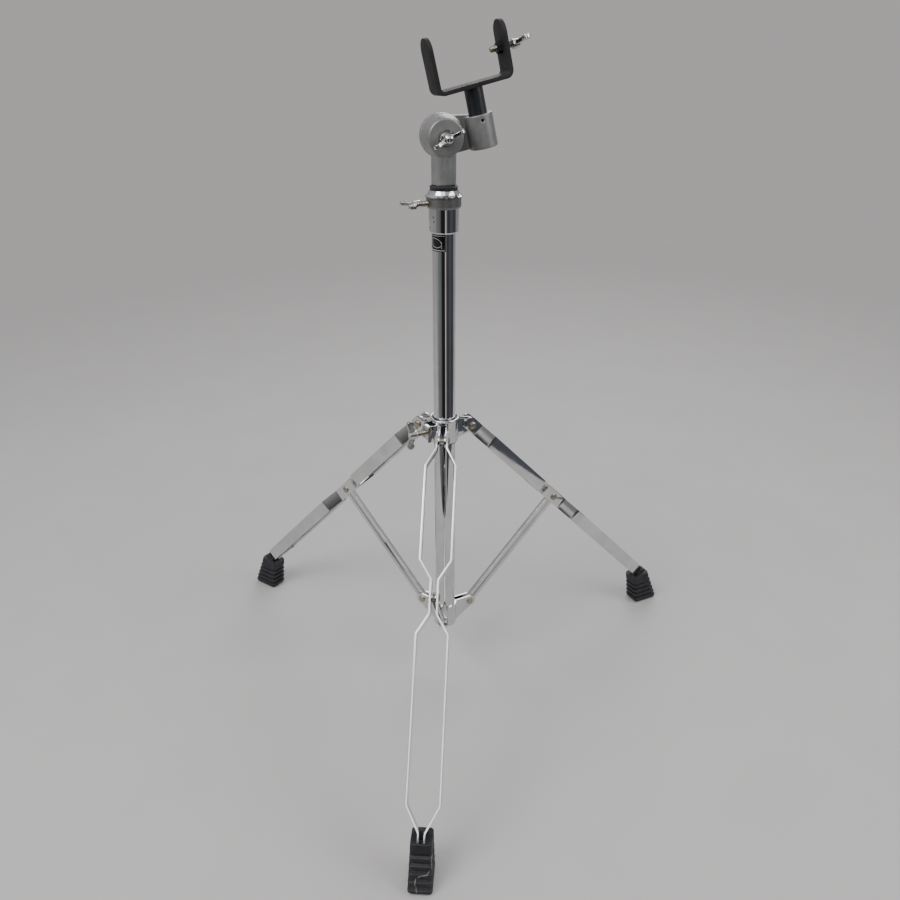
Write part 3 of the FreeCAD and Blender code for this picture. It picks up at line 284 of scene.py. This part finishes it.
class Surface:
    """A Principled material, with short ways to add procedural detail to it."""

    def __init__(self, name, colour, roughness, metallic=0.0):
        self.material = bpy.data.materials.new(name)
        self.material.use_nodes = True
        self.tree = self.material.node_tree
        self.shader = self.tree.nodes["Principled BSDF"]
        self.shader.inputs["Base Color"].default_value = (*colour, 1)
        self.shader.inputs["Roughness"].default_value = roughness
        self.shader.inputs["Metallic"].default_value = metallic
        self.place = self.tree.nodes.new("ShaderNodeTexCoord").outputs["Object"]

    def feed(self, name, output):
        """Drive one of the shader's inputs."""
        self.tree.links.new(output, self.shader.inputs[name])

    def stretched(self, scale):
        """Object coordinates, scaled differently along each axis."""
        mapping = self.tree.nodes.new("ShaderNodeMapping")
        mapping.inputs["Scale"].default_value = scale
        self.tree.links.new(self.place, mapping.inputs["Vector"])
        return mapping.outputs[0]

    def noise(self, scale, detail=3.0, distortion=0.0, place=None):
        """A noise value; scale is in features per metre."""
        node = self.tree.nodes.new("ShaderNodeTexNoise")
        node.inputs["Scale"].default_value = scale
        node.inputs["Detail"].default_value = detail
        node.inputs["Distortion"].default_value = distortion
        self.tree.links.new(place or self.place, node.inputs["Vector"])
        return node.outputs["Fac"]

    def cells(self, scale):
        """The distance to the nearest of many scattered points, for specks."""
        node = self.tree.nodes.new("ShaderNodeTexVoronoi")
        node.inputs["Scale"].default_value = scale
        self.tree.links.new(self.place, node.inputs["Vector"])
        return node.outputs["Distance"]

    def ramp(self, value, stops):
        """Turn a value into a colour."""
        node = self.tree.nodes.new("ShaderNodeValToRGB")
        set_stops(node, stops)
        self.tree.links.new(value, node.inputs[0])
        return node.outputs[0]

    def span(self, value, low, high, to_low, to_high):
        """Map one range of a value onto another, held at its ends."""
        node = self.tree.nodes.new("ShaderNodeMapRange")
        ends = {"From Min": low, "From Max": high, "To Min": to_low, "To Max": to_high}
        for name, number in ends.items():
            node.inputs[name].default_value = number
        self.tree.links.new(value, node.inputs["Value"])
        return node.outputs[0]

    def blend(self, share, first, second):
        """Mix two colours; each is an output or three numbers."""
        node = self.tree.nodes.new("ShaderNodeMix")
        node.data_type = "RGBA"
        self.tree.links.new(share, node.inputs[0])
        for socket, colour in ((node.inputs[6], first), (node.inputs[7], second)):
            if isinstance(colour, tuple):
                socket.default_value = (*colour, 1)
            else:
                self.tree.links.new(colour, socket)
        return node.outputs[2]

    def maths(self, operation, first, second):
        """One step of arithmetic; second is an output or a number."""
        node = self.tree.nodes.new("ShaderNodeMath")
        node.operation = operation
        self.tree.links.new(first, node.inputs[0])
        if isinstance(second, (int, float)):
            node.inputs[1].default_value = second
        else:
            self.tree.links.new(second, node.inputs[1])
        return node.outputs[0]

    def edges(self, low, high):
        """How exposed an edge is, from 0 to 1."""
        node = self.tree.nodes.new("ShaderNodeNewGeometry")
        return self.span(node.outputs["Pointiness"], low, high, 0.0, 1.0)

    def height(self):
        """The height above the floor."""
        split = self.tree.nodes.new("ShaderNodeSeparateXYZ")
        self.tree.links.new(self.place, split.inputs[0])
        return split.outputs["Z"]

    def bump(self, value, distance, strength, under=None):
        """Raise the surface by a value, on top of another bump if given."""
        node = self.tree.nodes.new("ShaderNodeBump")
        node.inputs["Distance"].default_value = distance
        node.inputs["Strength"].default_value = strength
        self.tree.links.new(value, node.inputs["Height"])
        if under is not None:
            self.tree.links.new(under, node.inputs["Normal"])
        return node.outputs[0]


def tube_chrome():
    """Bright plate over drawn steel: faint grain, smudges, and a few specks of rust."""
    plate = Surface("chrome", CHROME_TINT, 0.06, metallic=1.0)
    smudge = plate.noise(38.0, 5.0, 0.4)
    drawn = plate.noise(1.0, 2.0, place=plate.stretched((60, 60, 6)))
    specks = plate.span(plate.cells(420.0), 0.035, 0.075, 1.0, 0.0)
    patches = plate.span(plate.noise(26.0, 2.0), 0.56, 0.66, 0.0, 1.0)
    rust = plate.maths("MULTIPLY", specks, patches)
    dull = tuple(0.86 * channel for channel in CHROME_TINT)
    clean = plate.blend(plate.span(smudge, 0.45, 0.75, 0.0, 1.0), CHROME_TINT, dull)
    plate.feed("Base Color", plate.blend(rust, clean, (0.20, 0.13, 0.08)))
    rough = plate.span(smudge, 0.42, 0.78, 0.035, 0.10)
    plate.feed("Roughness", plate.maths("MAXIMUM", rough, plate.maths("MULTIPLY", rust, 0.55)))
    plate.feed("Normal", plate.bump(drawn, 0.00004, 0.5))
    return plate.material


def ring_chrome():
    """Plate over the clamp ring: bright on its dome, buffed to a satin round its band."""
    plate = Surface("ring_chrome", CHROME_TINT, 0.06, metallic=1.0)
    cloud = plate.noise(60.0, 4.0)
    band = plate.span(plate.height(), (RING_FLANGE - 0.3) * MM, (RING_FLANGE + 0.3) * MM, 1.0, 0.0)
    bright = plate.ramp(cloud, [(0.3, (0.66, 0.665, 0.67)), (0.7, (0.56, 0.56, 0.56))])
    satin = plate.ramp(cloud, [(0.3, (0.27, 0.265, 0.26)), (0.7, (0.22, 0.215, 0.21))])
    plate.feed("Base Color", plate.blend(band, bright, satin))
    plate.feed("Roughness", plate.maths("MAXIMUM", plate.maths("MULTIPLY", band, 0.42), 0.05))
    drawn = plate.noise(1.0, 2.0, place=plate.stretched((300, 300, 2500)))
    dents = plate.bump(plate.noise(160.0, 2.0), 0.0003, 0.3)
    plate.feed("Normal", plate.bump(drawn, 0.00002, 0.5, under=dents))
    return plate.material


def cast_chrome():
    """Plate over a die casting: uneven, darker in its pits."""
    plate = Surface("cast_chrome", (0.62, 0.615, 0.60), 0.12, metallic=1.0)
    patch = plate.noise(320.0, 4.0)
    plate.feed("Base Color", plate.ramp(patch, [(0.3, (0.34, 0.32, 0.29)), (0.55, (0.66, 0.655, 0.64))]))
    plate.feed("Roughness", plate.span(patch, 0.3, 0.6, 0.30, 0.10))
    plate.feed("Normal", plate.bump(plate.noise(260.0, 3.0), 0.00025, 0.4))
    return plate.material


def pressed_chrome():
    """Plate over bent flat strip, a little wavy, with cloudy patches."""
    plate = Surface("strip_chrome", (0.63, 0.63, 0.635), 0.08, metallic=1.0)
    cloud = plate.noise(30.0, 4.0, 0.5)
    tone = plate.ramp(cloud, [(0.35, (0.68, 0.685, 0.69)), (0.72, (0.56, 0.56, 0.555))])
    plate.feed("Base Color", tone)
    plate.feed("Roughness", plate.span(cloud, 0.35, 0.75, 0.05, 0.17))
    waves = plate.bump(plate.noise(22.0, 1.0), 0.0006, 0.35)
    plate.feed("Normal", plate.bump(plate.noise(400.0, 3.0), 0.00002, 0.5, under=waves))
    return plate.material


def dull_steel(name, colour, rough):
    """Plain zinc-plated steel with dark and light patches."""
    steel = Surface(name, colour, rough, metallic=1.0)
    patch = steel.noise(260.0, 4.0)
    dark = tuple(0.55 * channel for channel in colour)
    steel.feed("Base Color", steel.ramp(patch, [(0.32, dark), (0.62, colour)]))
    steel.feed("Roughness", steel.span(patch, 0.3, 0.7, rough + 0.12, rough - 0.08))
    steel.feed("Normal", steel.bump(steel.noise(1500.0, 2.0), 0.00003, 0.6))
    return steel.material


def silver_paint():
    """Satin metallic paint over a casting, brighter on worn edges, with grime and painted shade darkening its
    hollows.
    """
    paint = Surface("silver_paint", (0.23, 0.235, 0.23), 0.38, metallic=0.6)
    tone = paint.ramp(paint.noise(70.0, 4.0), [(0.3, (0.215, 0.22, 0.212)), (0.7, (0.26, 0.265, 0.26))])
    flakes = paint.span(paint.noise(4200.0, 1.0), 0.45, 0.7, 0.0, 0.35)
    sparkle = paint.blend(flakes, tone, (0.40, 0.40, 0.39))
    wear = paint.span(paint.noise(300.0), 0.4, 0.6, 0.1, 0.6)
    worn = paint.maths("MULTIPLY", paint.edges(0.52, 0.57), wear)
    brighter = paint.blend(worn, sparkle, (0.56, 0.55, 0.52))
    # Painted shade with grime: hollows darkened towards (0.10, 0.10, 0.095), broken up by noise.
    shade_and_grime_breakup = paint.span(paint.noise(180.0), 0.3, 0.6, 0.3, 0.8)
    hollow_shade_and_grime = paint.maths("MULTIPLY", paint.edges(0.49, 0.44), shade_and_grime_breakup)
    paint.feed("Base Color", paint.blend(hollow_shade_and_grime, brighter, (0.10, 0.10, 0.095)))
    paint.feed("Roughness", paint.span(paint.noise(120.0, 3.0), 0.3, 0.7, 0.34, 0.46))
    cast = paint.bump(paint.noise(150.0, 3.0), 0.0003, 0.25)
    paint.feed("Normal", paint.bump(paint.noise(2500.0, 2.0), 0.00003, 0.5, under=cast))
    return paint.material


def black_powder(name, colour, rough, wear, gloss):
    """Powder coat: pebbled, faintly glossy, rubbed to steel along its edges."""
    coat = Surface(name, colour, rough)
    coat.shader.inputs["Specular IOR Level"].default_value = gloss
    pale = tuple(channel * 1.9 + 0.004 for channel in colour)
    tone = coat.ramp(coat.noise(60.0, 4.0), [(0.3, colour), (0.75, pale)])
    patches = coat.span(coat.noise(150.0, 3.0), 0.62, 0.68, 0.0, wear)
    rubbed = coat.maths("MULTIPLY", coat.edges(0.56, 0.70), patches)
    coat.feed("Base Color", coat.blend(rubbed, tone, (0.30, 0.30, 0.30)))
    coat.feed("Metallic", coat.maths("MULTIPLY", rubbed, 0.9))
    coat.feed("Roughness", coat.span(coat.noise(90.0, 3.0), 0.3, 0.7, rough - 0.06, rough + 0.1))
    coat.feed("Normal", coat.bump(coat.noise(1100.0, 3.0), 0.00004, 0.30))
    return coat.material


def foot_rubber():
    """Moulded black rubber, greyer on its ribs, with scuffs low down."""
    rubber = Surface("foot_rubber", (0.014, 0.014, 0.016), 0.6)
    cloud = rubber.noise(90.0, 5.0)
    tone = rubber.ramp(cloud, [(0.3, (0.007, 0.007, 0.010)), (0.75, (0.014, 0.014, 0.018))])
    bloom = rubber.span(rubber.noise(200.0, 4.0), 0.3, 0.7, 0.2, 0.8)
    rib = rubber.maths("MULTIPLY", rubber.edges(0.50, 0.56), bloom)
    ribbed = rubber.blend(rib, tone, (0.034, 0.034, 0.040))
    streaks = rubber.noise(1.0, 4.0, place=rubber.stretched((420, 420, 90)))
    scuff = rubber.span(streaks, 0.68, 0.74, 0.0, 0.4)
    rubber.feed("Base Color", rubber.blend(scuff, ribbed, (0.09, 0.085, 0.082)))
    rubber.feed("Roughness", rubber.span(rubber.noise(130.0, 3.0), 0.3, 0.7, 0.46, 0.74))
    rubber.feed("Normal", rubber.bump(rubber.noise(900.0, 4.0), 0.0001, 0.5))
    return rubber.material


def pale_flash():
    """A pale scratch or line of moulding flash in rubber."""
    flash = Surface("pale_flash", (0.30, 0.27, 0.24), 0.6)
    patch = flash.noise(800.0, 3.0)
    flash.feed("Base Color", flash.ramp(patch, [(0.35, (0.12, 0.11, 0.10)), (0.6, (0.36, 0.33, 0.30))]))
    return flash.material


def black_nylon():
    """Moulded nylon, slightly polished where it rubs."""
    nylon = Surface("black_nylon", (0.011, 0.011, 0.013), 0.42)
    cloud = nylon.noise(200.0, 3.0)
    tone = nylon.ramp(cloud, [(0.3, (0.008, 0.008, 0.010)), (0.7, (0.020, 0.020, 0.022))])
    nylon.feed("Base Color", tone)
    nylon.feed("Roughness", nylon.span(nylon.noise(340.0, 3.0), 0.3, 0.7, 0.30, 0.55))
    nylon.feed("Normal", nylon.bump(nylon.noise(1400.0, 2.0), 0.00005, 0.5))
    return nylon.material


def pad_brass():
    """Turned brass, tarnished in patches."""
    brass = Surface("pad_brass", (0.66, 0.48, 0.22), 0.3, metallic=1.0)
    patch = brass.noise(500.0, 4.0)
    brass.feed("Base Color", brass.ramp(patch, [(0.3, (0.38, 0.26, 0.12)), (0.65, (0.70, 0.52, 0.25))]))
    brass.feed("Roughness", brass.span(patch, 0.3, 0.7, 0.45, 0.22))
    return brass.material


def label_film():
    """Glossy black film with fine scratches."""
    film = Surface("label_film", (0.006, 0.006, 0.008), 0.12)
    scratch = film.span(film.noise(1.0, 2.0, place=film.stretched((900, 900, 60))), 0.62, 0.68, 0.0, 0.3)
    film.feed("Base Color", film.blend(scratch, (0.006, 0.006, 0.008), (0.09, 0.09, 0.09)))
    film.feed("Roughness", film.span(film.noise(150.0, 3.0), 0.3, 0.7, 0.08, 0.22))
    return film.material


def label_ink():
    """The label's silver outline, worn thin in places."""
    ink = Surface("label_ink", (0.62, 0.62, 0.60), 0.35, metallic=0.6)
    patch = ink.noise(700.0, 3.0)
    ink.feed("Base Color", ink.ramp(patch, [(0.3, grey(0.35)), (0.55, (0.64, 0.64, 0.62))]))
    return ink.material


MATERIALS = {
    "chrome": tube_chrome(),
    "cast_chrome": cast_chrome(),
    "ring_chrome": ring_chrome(),
    "thread_steel": dull_steel("thread_steel", (0.42, 0.38, 0.30), 0.30),
    "strip_chrome": pressed_chrome(),
    "rivet_steel": dull_steel("rivet_steel", (0.46, 0.41, 0.31), 0.38),
    "spring_steel": dull_steel("spring_steel", (0.22, 0.22, 0.23), 0.42),
    # near-black steel: blackened on the grub screw, painted shade on the feet's spacers
    "blackened_steel_and_painted_shade": dull_steel("blackened_steel_and_painted_shade", (0.035, 0.035, 0.04), 0.5),
    "cast_zinc": dull_steel("cast_zinc", (0.50, 0.50, 0.50), 0.48),
    "silver_paint": silver_paint(),
    "black_paint": black_powder("black_paint", (0.012, 0.011, 0.0115), 0.58, wear=0.12, gloss=0.25),
    "post_paint": black_powder("post_paint", (0.006, 0.007, 0.011), 0.34, wear=0.0, gloss=0.5),
    "foot_rubber": foot_rubber(),
    "pale_flash": pale_flash(),
    "black_nylon": black_nylon(),
    "pad_brass": pad_brass(),
    "label_film": label_film(),
    "label_ink": label_ink(),
}


def material_for(node):
    """The material that a CAD node's finish is drawn with."""
    if "_strip_" in node or node.startswith(("brace_", "hub_shell")):
        return MATERIALS["strip_chrome"]
    if node == "bracket_post":
        return MATERIALS["post_paint"]
    if node == "height_clamp_ring":
        return MATERIALS["ring_chrome"]
    # The grub screw is blackened; the spacers take the same near-black steel as painted shade between the strips
    # at the feet's mouths.
    if node == "socket_grub_screw" or node.endswith("_spacer"):
        return MATERIALS["blackened_steel_and_painted_shade"]
    return MATERIALS[SLOT_OF[node]]


def finish_cad_nodes():
    """Give every CAD node its material."""
    for name, node in NODES.items():
        node.data.materials.clear()
        node.data.materials.append(material_for(name))


# ---------------------------------------------------------------- mesh helpers

def add_piece(name, mesh, material, node):
    """A finished piece that rides with a CAD node's body, drawn with the given material."""
    mesh.materials.clear()
    mesh.materials.append(material)
    piece = bpy.data.objects.new(name, mesh)
    bpy.context.scene.collection.objects.link(piece)
    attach(piece, BODY_OF[node])
    return piece


def merged_copy(node):
    """A CAD node's mesh with its split corners joined again."""
    shape = bmesh.new()
    shape.from_mesh(NODES[node].data)
    bmesh.ops.remove_doubles(shape, verts=shape.verts, dist=MERGE_DISTANCE * MM)
    mesh = bpy.data.meshes.new(node + "_copy")
    shape.to_mesh(mesh)
    shape.free()
    return mesh


def with_modifiers(mesh, add):
    """The mesh after the modifiers that add() puts on it."""
    holder = bpy.data.objects.new("holder", mesh)
    bpy.context.scene.collection.objects.link(holder)
    add(holder)
    graph = bpy.context.evaluated_depsgraph_get()
    result = bpy.data.meshes.new_from_object(holder.evaluated_get(graph))
    bpy.data.objects.remove(holder)
    return result


def softened(mesh, voxel, passes):
    """A cast or moulded version of a shape: one skin, with small fillets and soft edges.

    The voxel size is in millimetres.
    """
    def add(holder):
        skin = holder.modifiers.new("skin", "REMESH")
        skin.mode = "VOXEL"
        skin.voxel_size = voxel * MM
        skin.use_smooth_shade = True
        smooth = holder.modifiers.new("smooth", "SMOOTH")
        smooth.factor = 0.5
        smooth.iterations = passes
    return with_modifiers(mesh, add)


def edged(mesh, width):
    """A pressed version of a sheet part, with its sharp edges rounded over."""
    def add(holder):
        bevel = holder.modifiers.new("bevel", "BEVEL")
        bevel.width = width
        bevel.segments = 3
        bevel.limit_method = "ANGLE"
        bevel.angle_limit = math.radians(50)
        bevel.use_clamp_overlap = True
    result = with_modifiers(mesh, add)
    result.shade_smooth()
    result.set_sharp_from_angle(angle=math.radians(38))
    return result


def add_edged_sheets():
    """Rounded edges on every strip and pressing."""
    sheets = {"u_bracket": BRACKET_EDGE, "leg_collar": PRESSED_EDGE}
    for leg in LEGS:
        sheets["brace_" + leg] = PRESSED_EDGE
        for side in ("left", "right"):
            sheets[f"leg_{leg}_strip_{side}"] = STRIP_EDGE
    for number in (1, 2, 3):
        sheets[f"hub_shell_{number}"] = PRESSED_EDGE
    for node, width in sheets.items():
        mesh = edged(merged_copy(node), width * MM)
        piece = add_piece(node + "_edged", mesh, material_for(node), node)
        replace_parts(piece, node)


def add_castings():
    """The tilter's halves and the feet, as moulded or cast."""
    skins = dict(TILTER_SKINS)
    for leg in LEGS:
        skins["foot_" + leg] = FOOT_SKIN
    for node, skin in skins.items():
        mesh = softened(merged_copy(node), *skin)
        piece = add_piece(node + "_cast", mesh, material_for(node), node)
        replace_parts(piece, node)


# ---------------------------------------------------------------- screws

def lathe(shape, profile, segments=48):
    """Turn (x, radius) points about the X axis into a closed skin in a bmesh."""
    rings = []
    for x, radius in profile:
        ring = []
        for step in range(segments):
            angle = 2 * math.pi * step / segments
            ring.append(shape.verts.new((x, radius * math.cos(angle), radius * math.sin(angle))))
        rings.append(ring)
    for first, second in zip(rings, rings[1:]):
        for step in range(segments):
            after = (step + 1) % segments
            shape.faces.new((first[step], first[after], second[after], second[step]))
    shape.faces.new(list(reversed(rings[0])))
    shape.faces.new(rings[-1])


def thread(shape, radius, depth, pitch, start, end):
    """The skin of a thread along X, one continuous helix of ridges that fades out at its ends."""
    steps = len(THREAD_ROWS)
    rows = int((end - start) / pitch) * steps
    columns = []
    for step in range(THREAD_SEGMENTS):
        angle = 2 * math.pi * step / THREAD_SEGMENTS
        column = []
        for row in range(rows + 1):
            along = start + (row / steps + step / THREAD_SEGMENTS) * pitch
            share = min(1.0, (along - start) / pitch, (end - along) / pitch)
            r = radius - depth + depth * THREAD_ROWS[row % steps] * max(0.0, share)
            along = min(max(along, start), end)
            column.append(shape.verts.new((along, r * math.cos(angle), r * math.sin(angle))))
        columns.append(column)
    for step in range(THREAD_SEGMENTS):
        after = (step + 1) % THREAD_SEGMENTS
        shift = steps if after == 0 else 0
        for row in range(rows - steps):
            first, second = columns[step], columns[after]
            shape.faces.new((first[row], second[row + shift], second[row + 1 + shift], first[row + 1]))


def axis_frame(node, place, axis):
    """A matrix whose X is a screw's axis and whose Z points at its wing, from the CAD shape."""
    place = Vector(place)
    along = Vector(axis).normalized()
    first = along.orthogonal().normalized()
    second = along.cross(first)
    spread = [0.0, 0.0, 0.0]
    for corner in NODES[node].data.vertices:
        offset = corner.co - place
        u, v = offset.dot(first), offset.dot(second)
        spread = [spread[0] + u * u, spread[1] + v * v, spread[2] + u * v]
    angle = 0.5 * math.atan2(2 * spread[2], spread[0] - spread[1])
    up = first * math.cos(angle) + second * math.sin(angle)
    side = up.cross(along)
    turn = Matrix((along, side, up)).transposed().to_4x4()
    return Matrix.Translation(place) @ turn


def along_extent(node, place, axis):
    """The lowest and highest place of a node along an axis, in millimetres."""
    along = Vector(axis).normalized()
    values = [(corner.co - Vector(place)).dot(along) / MM for corner in NODES[node].data.vertices]
    return min(values), max(values)


def half_of(mesh, place, keep_beyond):
    """The part of a mesh on one side of a plane across X, closed where it is cut."""
    shape = bmesh.new()
    shape.from_mesh(mesh)
    everything = shape.verts[:] + shape.edges[:] + shape.faces[:]
    cut = bmesh.ops.bisect_plane(shape, geom=everything, plane_co=(place * MM, 0, 0), plane_no=(1, 0, 0),
                                 clear_inner=keep_beyond, clear_outer=not keep_beyond)
    rim = [part for part in cut["geom_cut"] if isinstance(part, bmesh.types.BMEdge)]
    bmesh.ops.holes_fill(shape, edges=rim, sides=0)
    shape.to_mesh(mesh)
    shape.free()
    return mesh


def threaded_rod(radius, pitch, start, end):
    """A rod along X with a cut thread and a chamfered tip, in millimetres; start may be above end."""
    depth = THREAD_SHARE * pitch
    root = radius - depth
    low, high = min(start, end), max(start, end)
    chamfer_end = start + math.copysign(TIP_CHAMFER[0], end - start)
    core = [(start, root - TIP_CHAMFER[1]), (chamfer_end, root - CORE_GAP), (end, root - CORE_GAP)]
    shape = bmesh.new()
    lathe(shape, core if end > start else list(reversed(core)))
    thread(shape, radius, depth, pitch, low + THREAD_MARGIN, high - THREAD_MARGIN)
    mesh = bpy.data.meshes.new("rod")
    shape.to_mesh(mesh)
    shape.free()
    mesh.transform(Matrix.Scale(MM, 4))
    mesh.shade_smooth()
    return mesh


def add_screws():
    """The wing screws, the wing nut and the tilt bolt: cast heads on threaded rods."""
    for node, (joint_name, head_at, radius, pitch) in WING_SCREWS.items():
        joint = JOINTS[joint_name]
        low, _ = along_extent(node, joint["pos_m"], joint["axis"])
        place = axis_frame(node, joint["pos_m"], joint["axis"])
        head = merged_copy(node)
        head.transform(place.inverted())
        head = softened(half_of(head, low + head_at, keep_beyond=True), *SCREW_SKIN)
        head.transform(place)
        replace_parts(add_piece(node + "_cast", head, MATERIALS["cast_chrome"], node), node)
        rod = threaded_rod(radius, pitch, low, low + head_at + ROD_OVERLAP)
        rod.transform(place)
        add_piece(node + "_thread", rod, MATERIALS["thread_steel"], node)
    add_tilt_bolt()


def add_tilt_bolt():
    """The tilt pivot's bolt and its wing nut."""
    joint = JOINTS["tilt_wing_nut_spin"]
    nut = softened(merged_copy("tilt_wing_nut"), *SCREW_SKIN)
    nut = add_piece("tilt_wing_nut_cast", nut, MATERIALS["cast_chrome"], "tilt_wing_nut")
    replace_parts(nut, "tilt_wing_nut")
    low, _ = along_extent("tilt_wing_nut", joint["pos_m"], joint["axis"])
    _, high = along_extent("tilt_bolt", joint["pos_m"], joint["axis"])
    place = axis_frame("tilt_bolt", joint["pos_m"], joint["axis"])
    bolt = merged_copy("tilt_bolt")
    bolt.transform(place.inverted())
    bolt = half_of(bolt, low + TILT_BOLT_CUT, keep_beyond=False)
    bolt.transform(place)
    bolt = add_piece("tilt_bolt_head", edged(bolt, BOLT_EDGE * MM), MATERIALS["cast_chrome"], "tilt_bolt")
    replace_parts(bolt, "tilt_bolt")
    rod = threaded_rod(TILT_BOLT_RADIUS, TILT_BOLT_PITCH, high, low + ROD_OVERLAP)
    rod.transform(place)
    add_piece("tilt_bolt_thread", rod, MATERIALS["chrome"], "tilt_bolt")


# ---------------------------------------------------------------- lines and marks on surfaces

def bead(points, normals, width, height, closed=False):
    """A thin raised line that follows points on a surface, in metres."""
    shape = bmesh.new()
    count = len(points)
    rings = []
    for index, (point, normal) in enumerate(zip(points, normals)):
        before = points[index - 1] if index or closed else point
        after = points[(index + 1) % count] if index + 1 < count or closed else point
        side = (after - before).cross(normal).normalized() * (width / 2)
        lift = normal * height
        corners = (side - lift, side + lift, lift - side, -side - lift)
        rings.append([shape.verts.new(point + corner) for corner in corners])
    pairs = list(zip(rings, rings[1:] + rings[:1]))
    for first, second in pairs if closed else pairs[:-1]:
        for corner in range(4):
            after = (corner + 1) % 4
            shape.faces.new((first[corner], first[after], second[after], second[corner]))
    if not closed:
        shape.faces.new(list(reversed(rings[0])))
        shape.faces.new(rings[-1])
    bmesh.ops.recalc_face_normals(shape, faces=shape.faces)
    mesh = bpy.data.meshes.new("bead")
    shape.to_mesh(mesh)
    shape.free()
    return mesh


def spline(corners, steps):
    """A smooth path through two-number corners."""
    path = []
    last = len(corners) - 1
    for index in range(last):
        around = [Vector(corners[min(max(index + shift, 0), last)]) for shift in (-1, 0, 1, 2)]
        for step in range(steps):
            t = step / steps
            bend = (around[3] - around[0] + 3 * (around[1] - around[2])) * t ** 3
            curve = (2 * around[0] - 5 * around[1] + 4 * around[2] - around[3]) * t ** 2
            path.append((2 * around[1] + (around[2] - around[0]) * t + curve + bend) / 2)
    return path + [Vector(corners[-1])]


def on_tube(radius, azimuth, height):
    """A point on a cylinder round the tube's axis and the outward direction there."""
    angle = math.radians(azimuth)
    outward = Vector((math.cos(angle), math.sin(angle), 0))
    return outward * radius * MM + Vector((0, TUBE_Y, height * MM)), outward


def add_label_lines():
    """Plain silver lines and a rounded emblem printed on the label."""
    for name, (width, closed, corners) in LABEL_LINES.items():
        path = spline(corners + corners[:1] if closed else corners, LABEL_STEPS)
        if closed:
            path.pop()
        points, normals = zip(*(on_tube(LABEL_SKIN, azimuth, height) for azimuth, height in path))
        mesh = bead(points, normals, width * MM, LABEL_LINE_HEIGHT * MM, closed)
        add_piece("label_" + name, mesh, MATERIALS["label_ink"], "tube_label")


def add_sleeve_pits():
    """Near-black discs that paint the shade in the sleeve's three punched pits."""
    for number, (azimuth, height) in enumerate(PITS):
        centre, outward = on_tube(PIT_FLOOR, azimuth, height)
        shape = bmesh.new()
        lathe(shape, PIT_PROFILE, segments=20)
        mesh = bpy.data.meshes.new("pit")
        shape.to_mesh(mesh)
        shape.free()
        mesh.transform(Matrix.Scale(MM, 4))
        up = Vector((0, 0, 1))
        turn = Matrix((outward, up.cross(outward), up)).transposed().to_4x4()
        mesh.transform(Matrix.Translation(centre) @ turn)
        add_piece(f"sleeve_pit_shade_{number + 1}", mesh, MATERIALS["black_nylon"], "tube_sleeve")


def add_flash_line():
    """The pale line that wanders down the front foot's outer face."""
    mesh = bpy.data.objects["foot_front_cast"].data
    corners = [corner.co for corner in mesh.vertices]
    tree = BVHTree.FromPolygons(corners, [face.vertices for face in mesh.polygons])
    points, normals = [], []
    for across, height in spline(FLASH_LINE, FLASH_STEPS):
        in_front = Vector((across * MM, -1.0, height * MM))
        hit, normal, _, _ = tree.ray_cast(in_front, Vector((0, 1, 0)))
        if hit is not None:
            points.append(hit)
            normals.append(normal)
    width, height = FLASH_SIZE
    line = bead(points, normals, width * MM, height * MM)
    add_piece("foot_front_flash", line, MATERIALS["pale_flash"], "foot_front")


add_camera()
add_world()
add_floor()
for light_name, settings in LIGHTS.items():
    add_light(light_name, *settings)
finish_cad_nodes()
add_edged_sheets()
add_castings()
add_screws()
add_label_lines()
add_sleeve_pits()
add_flash_line()
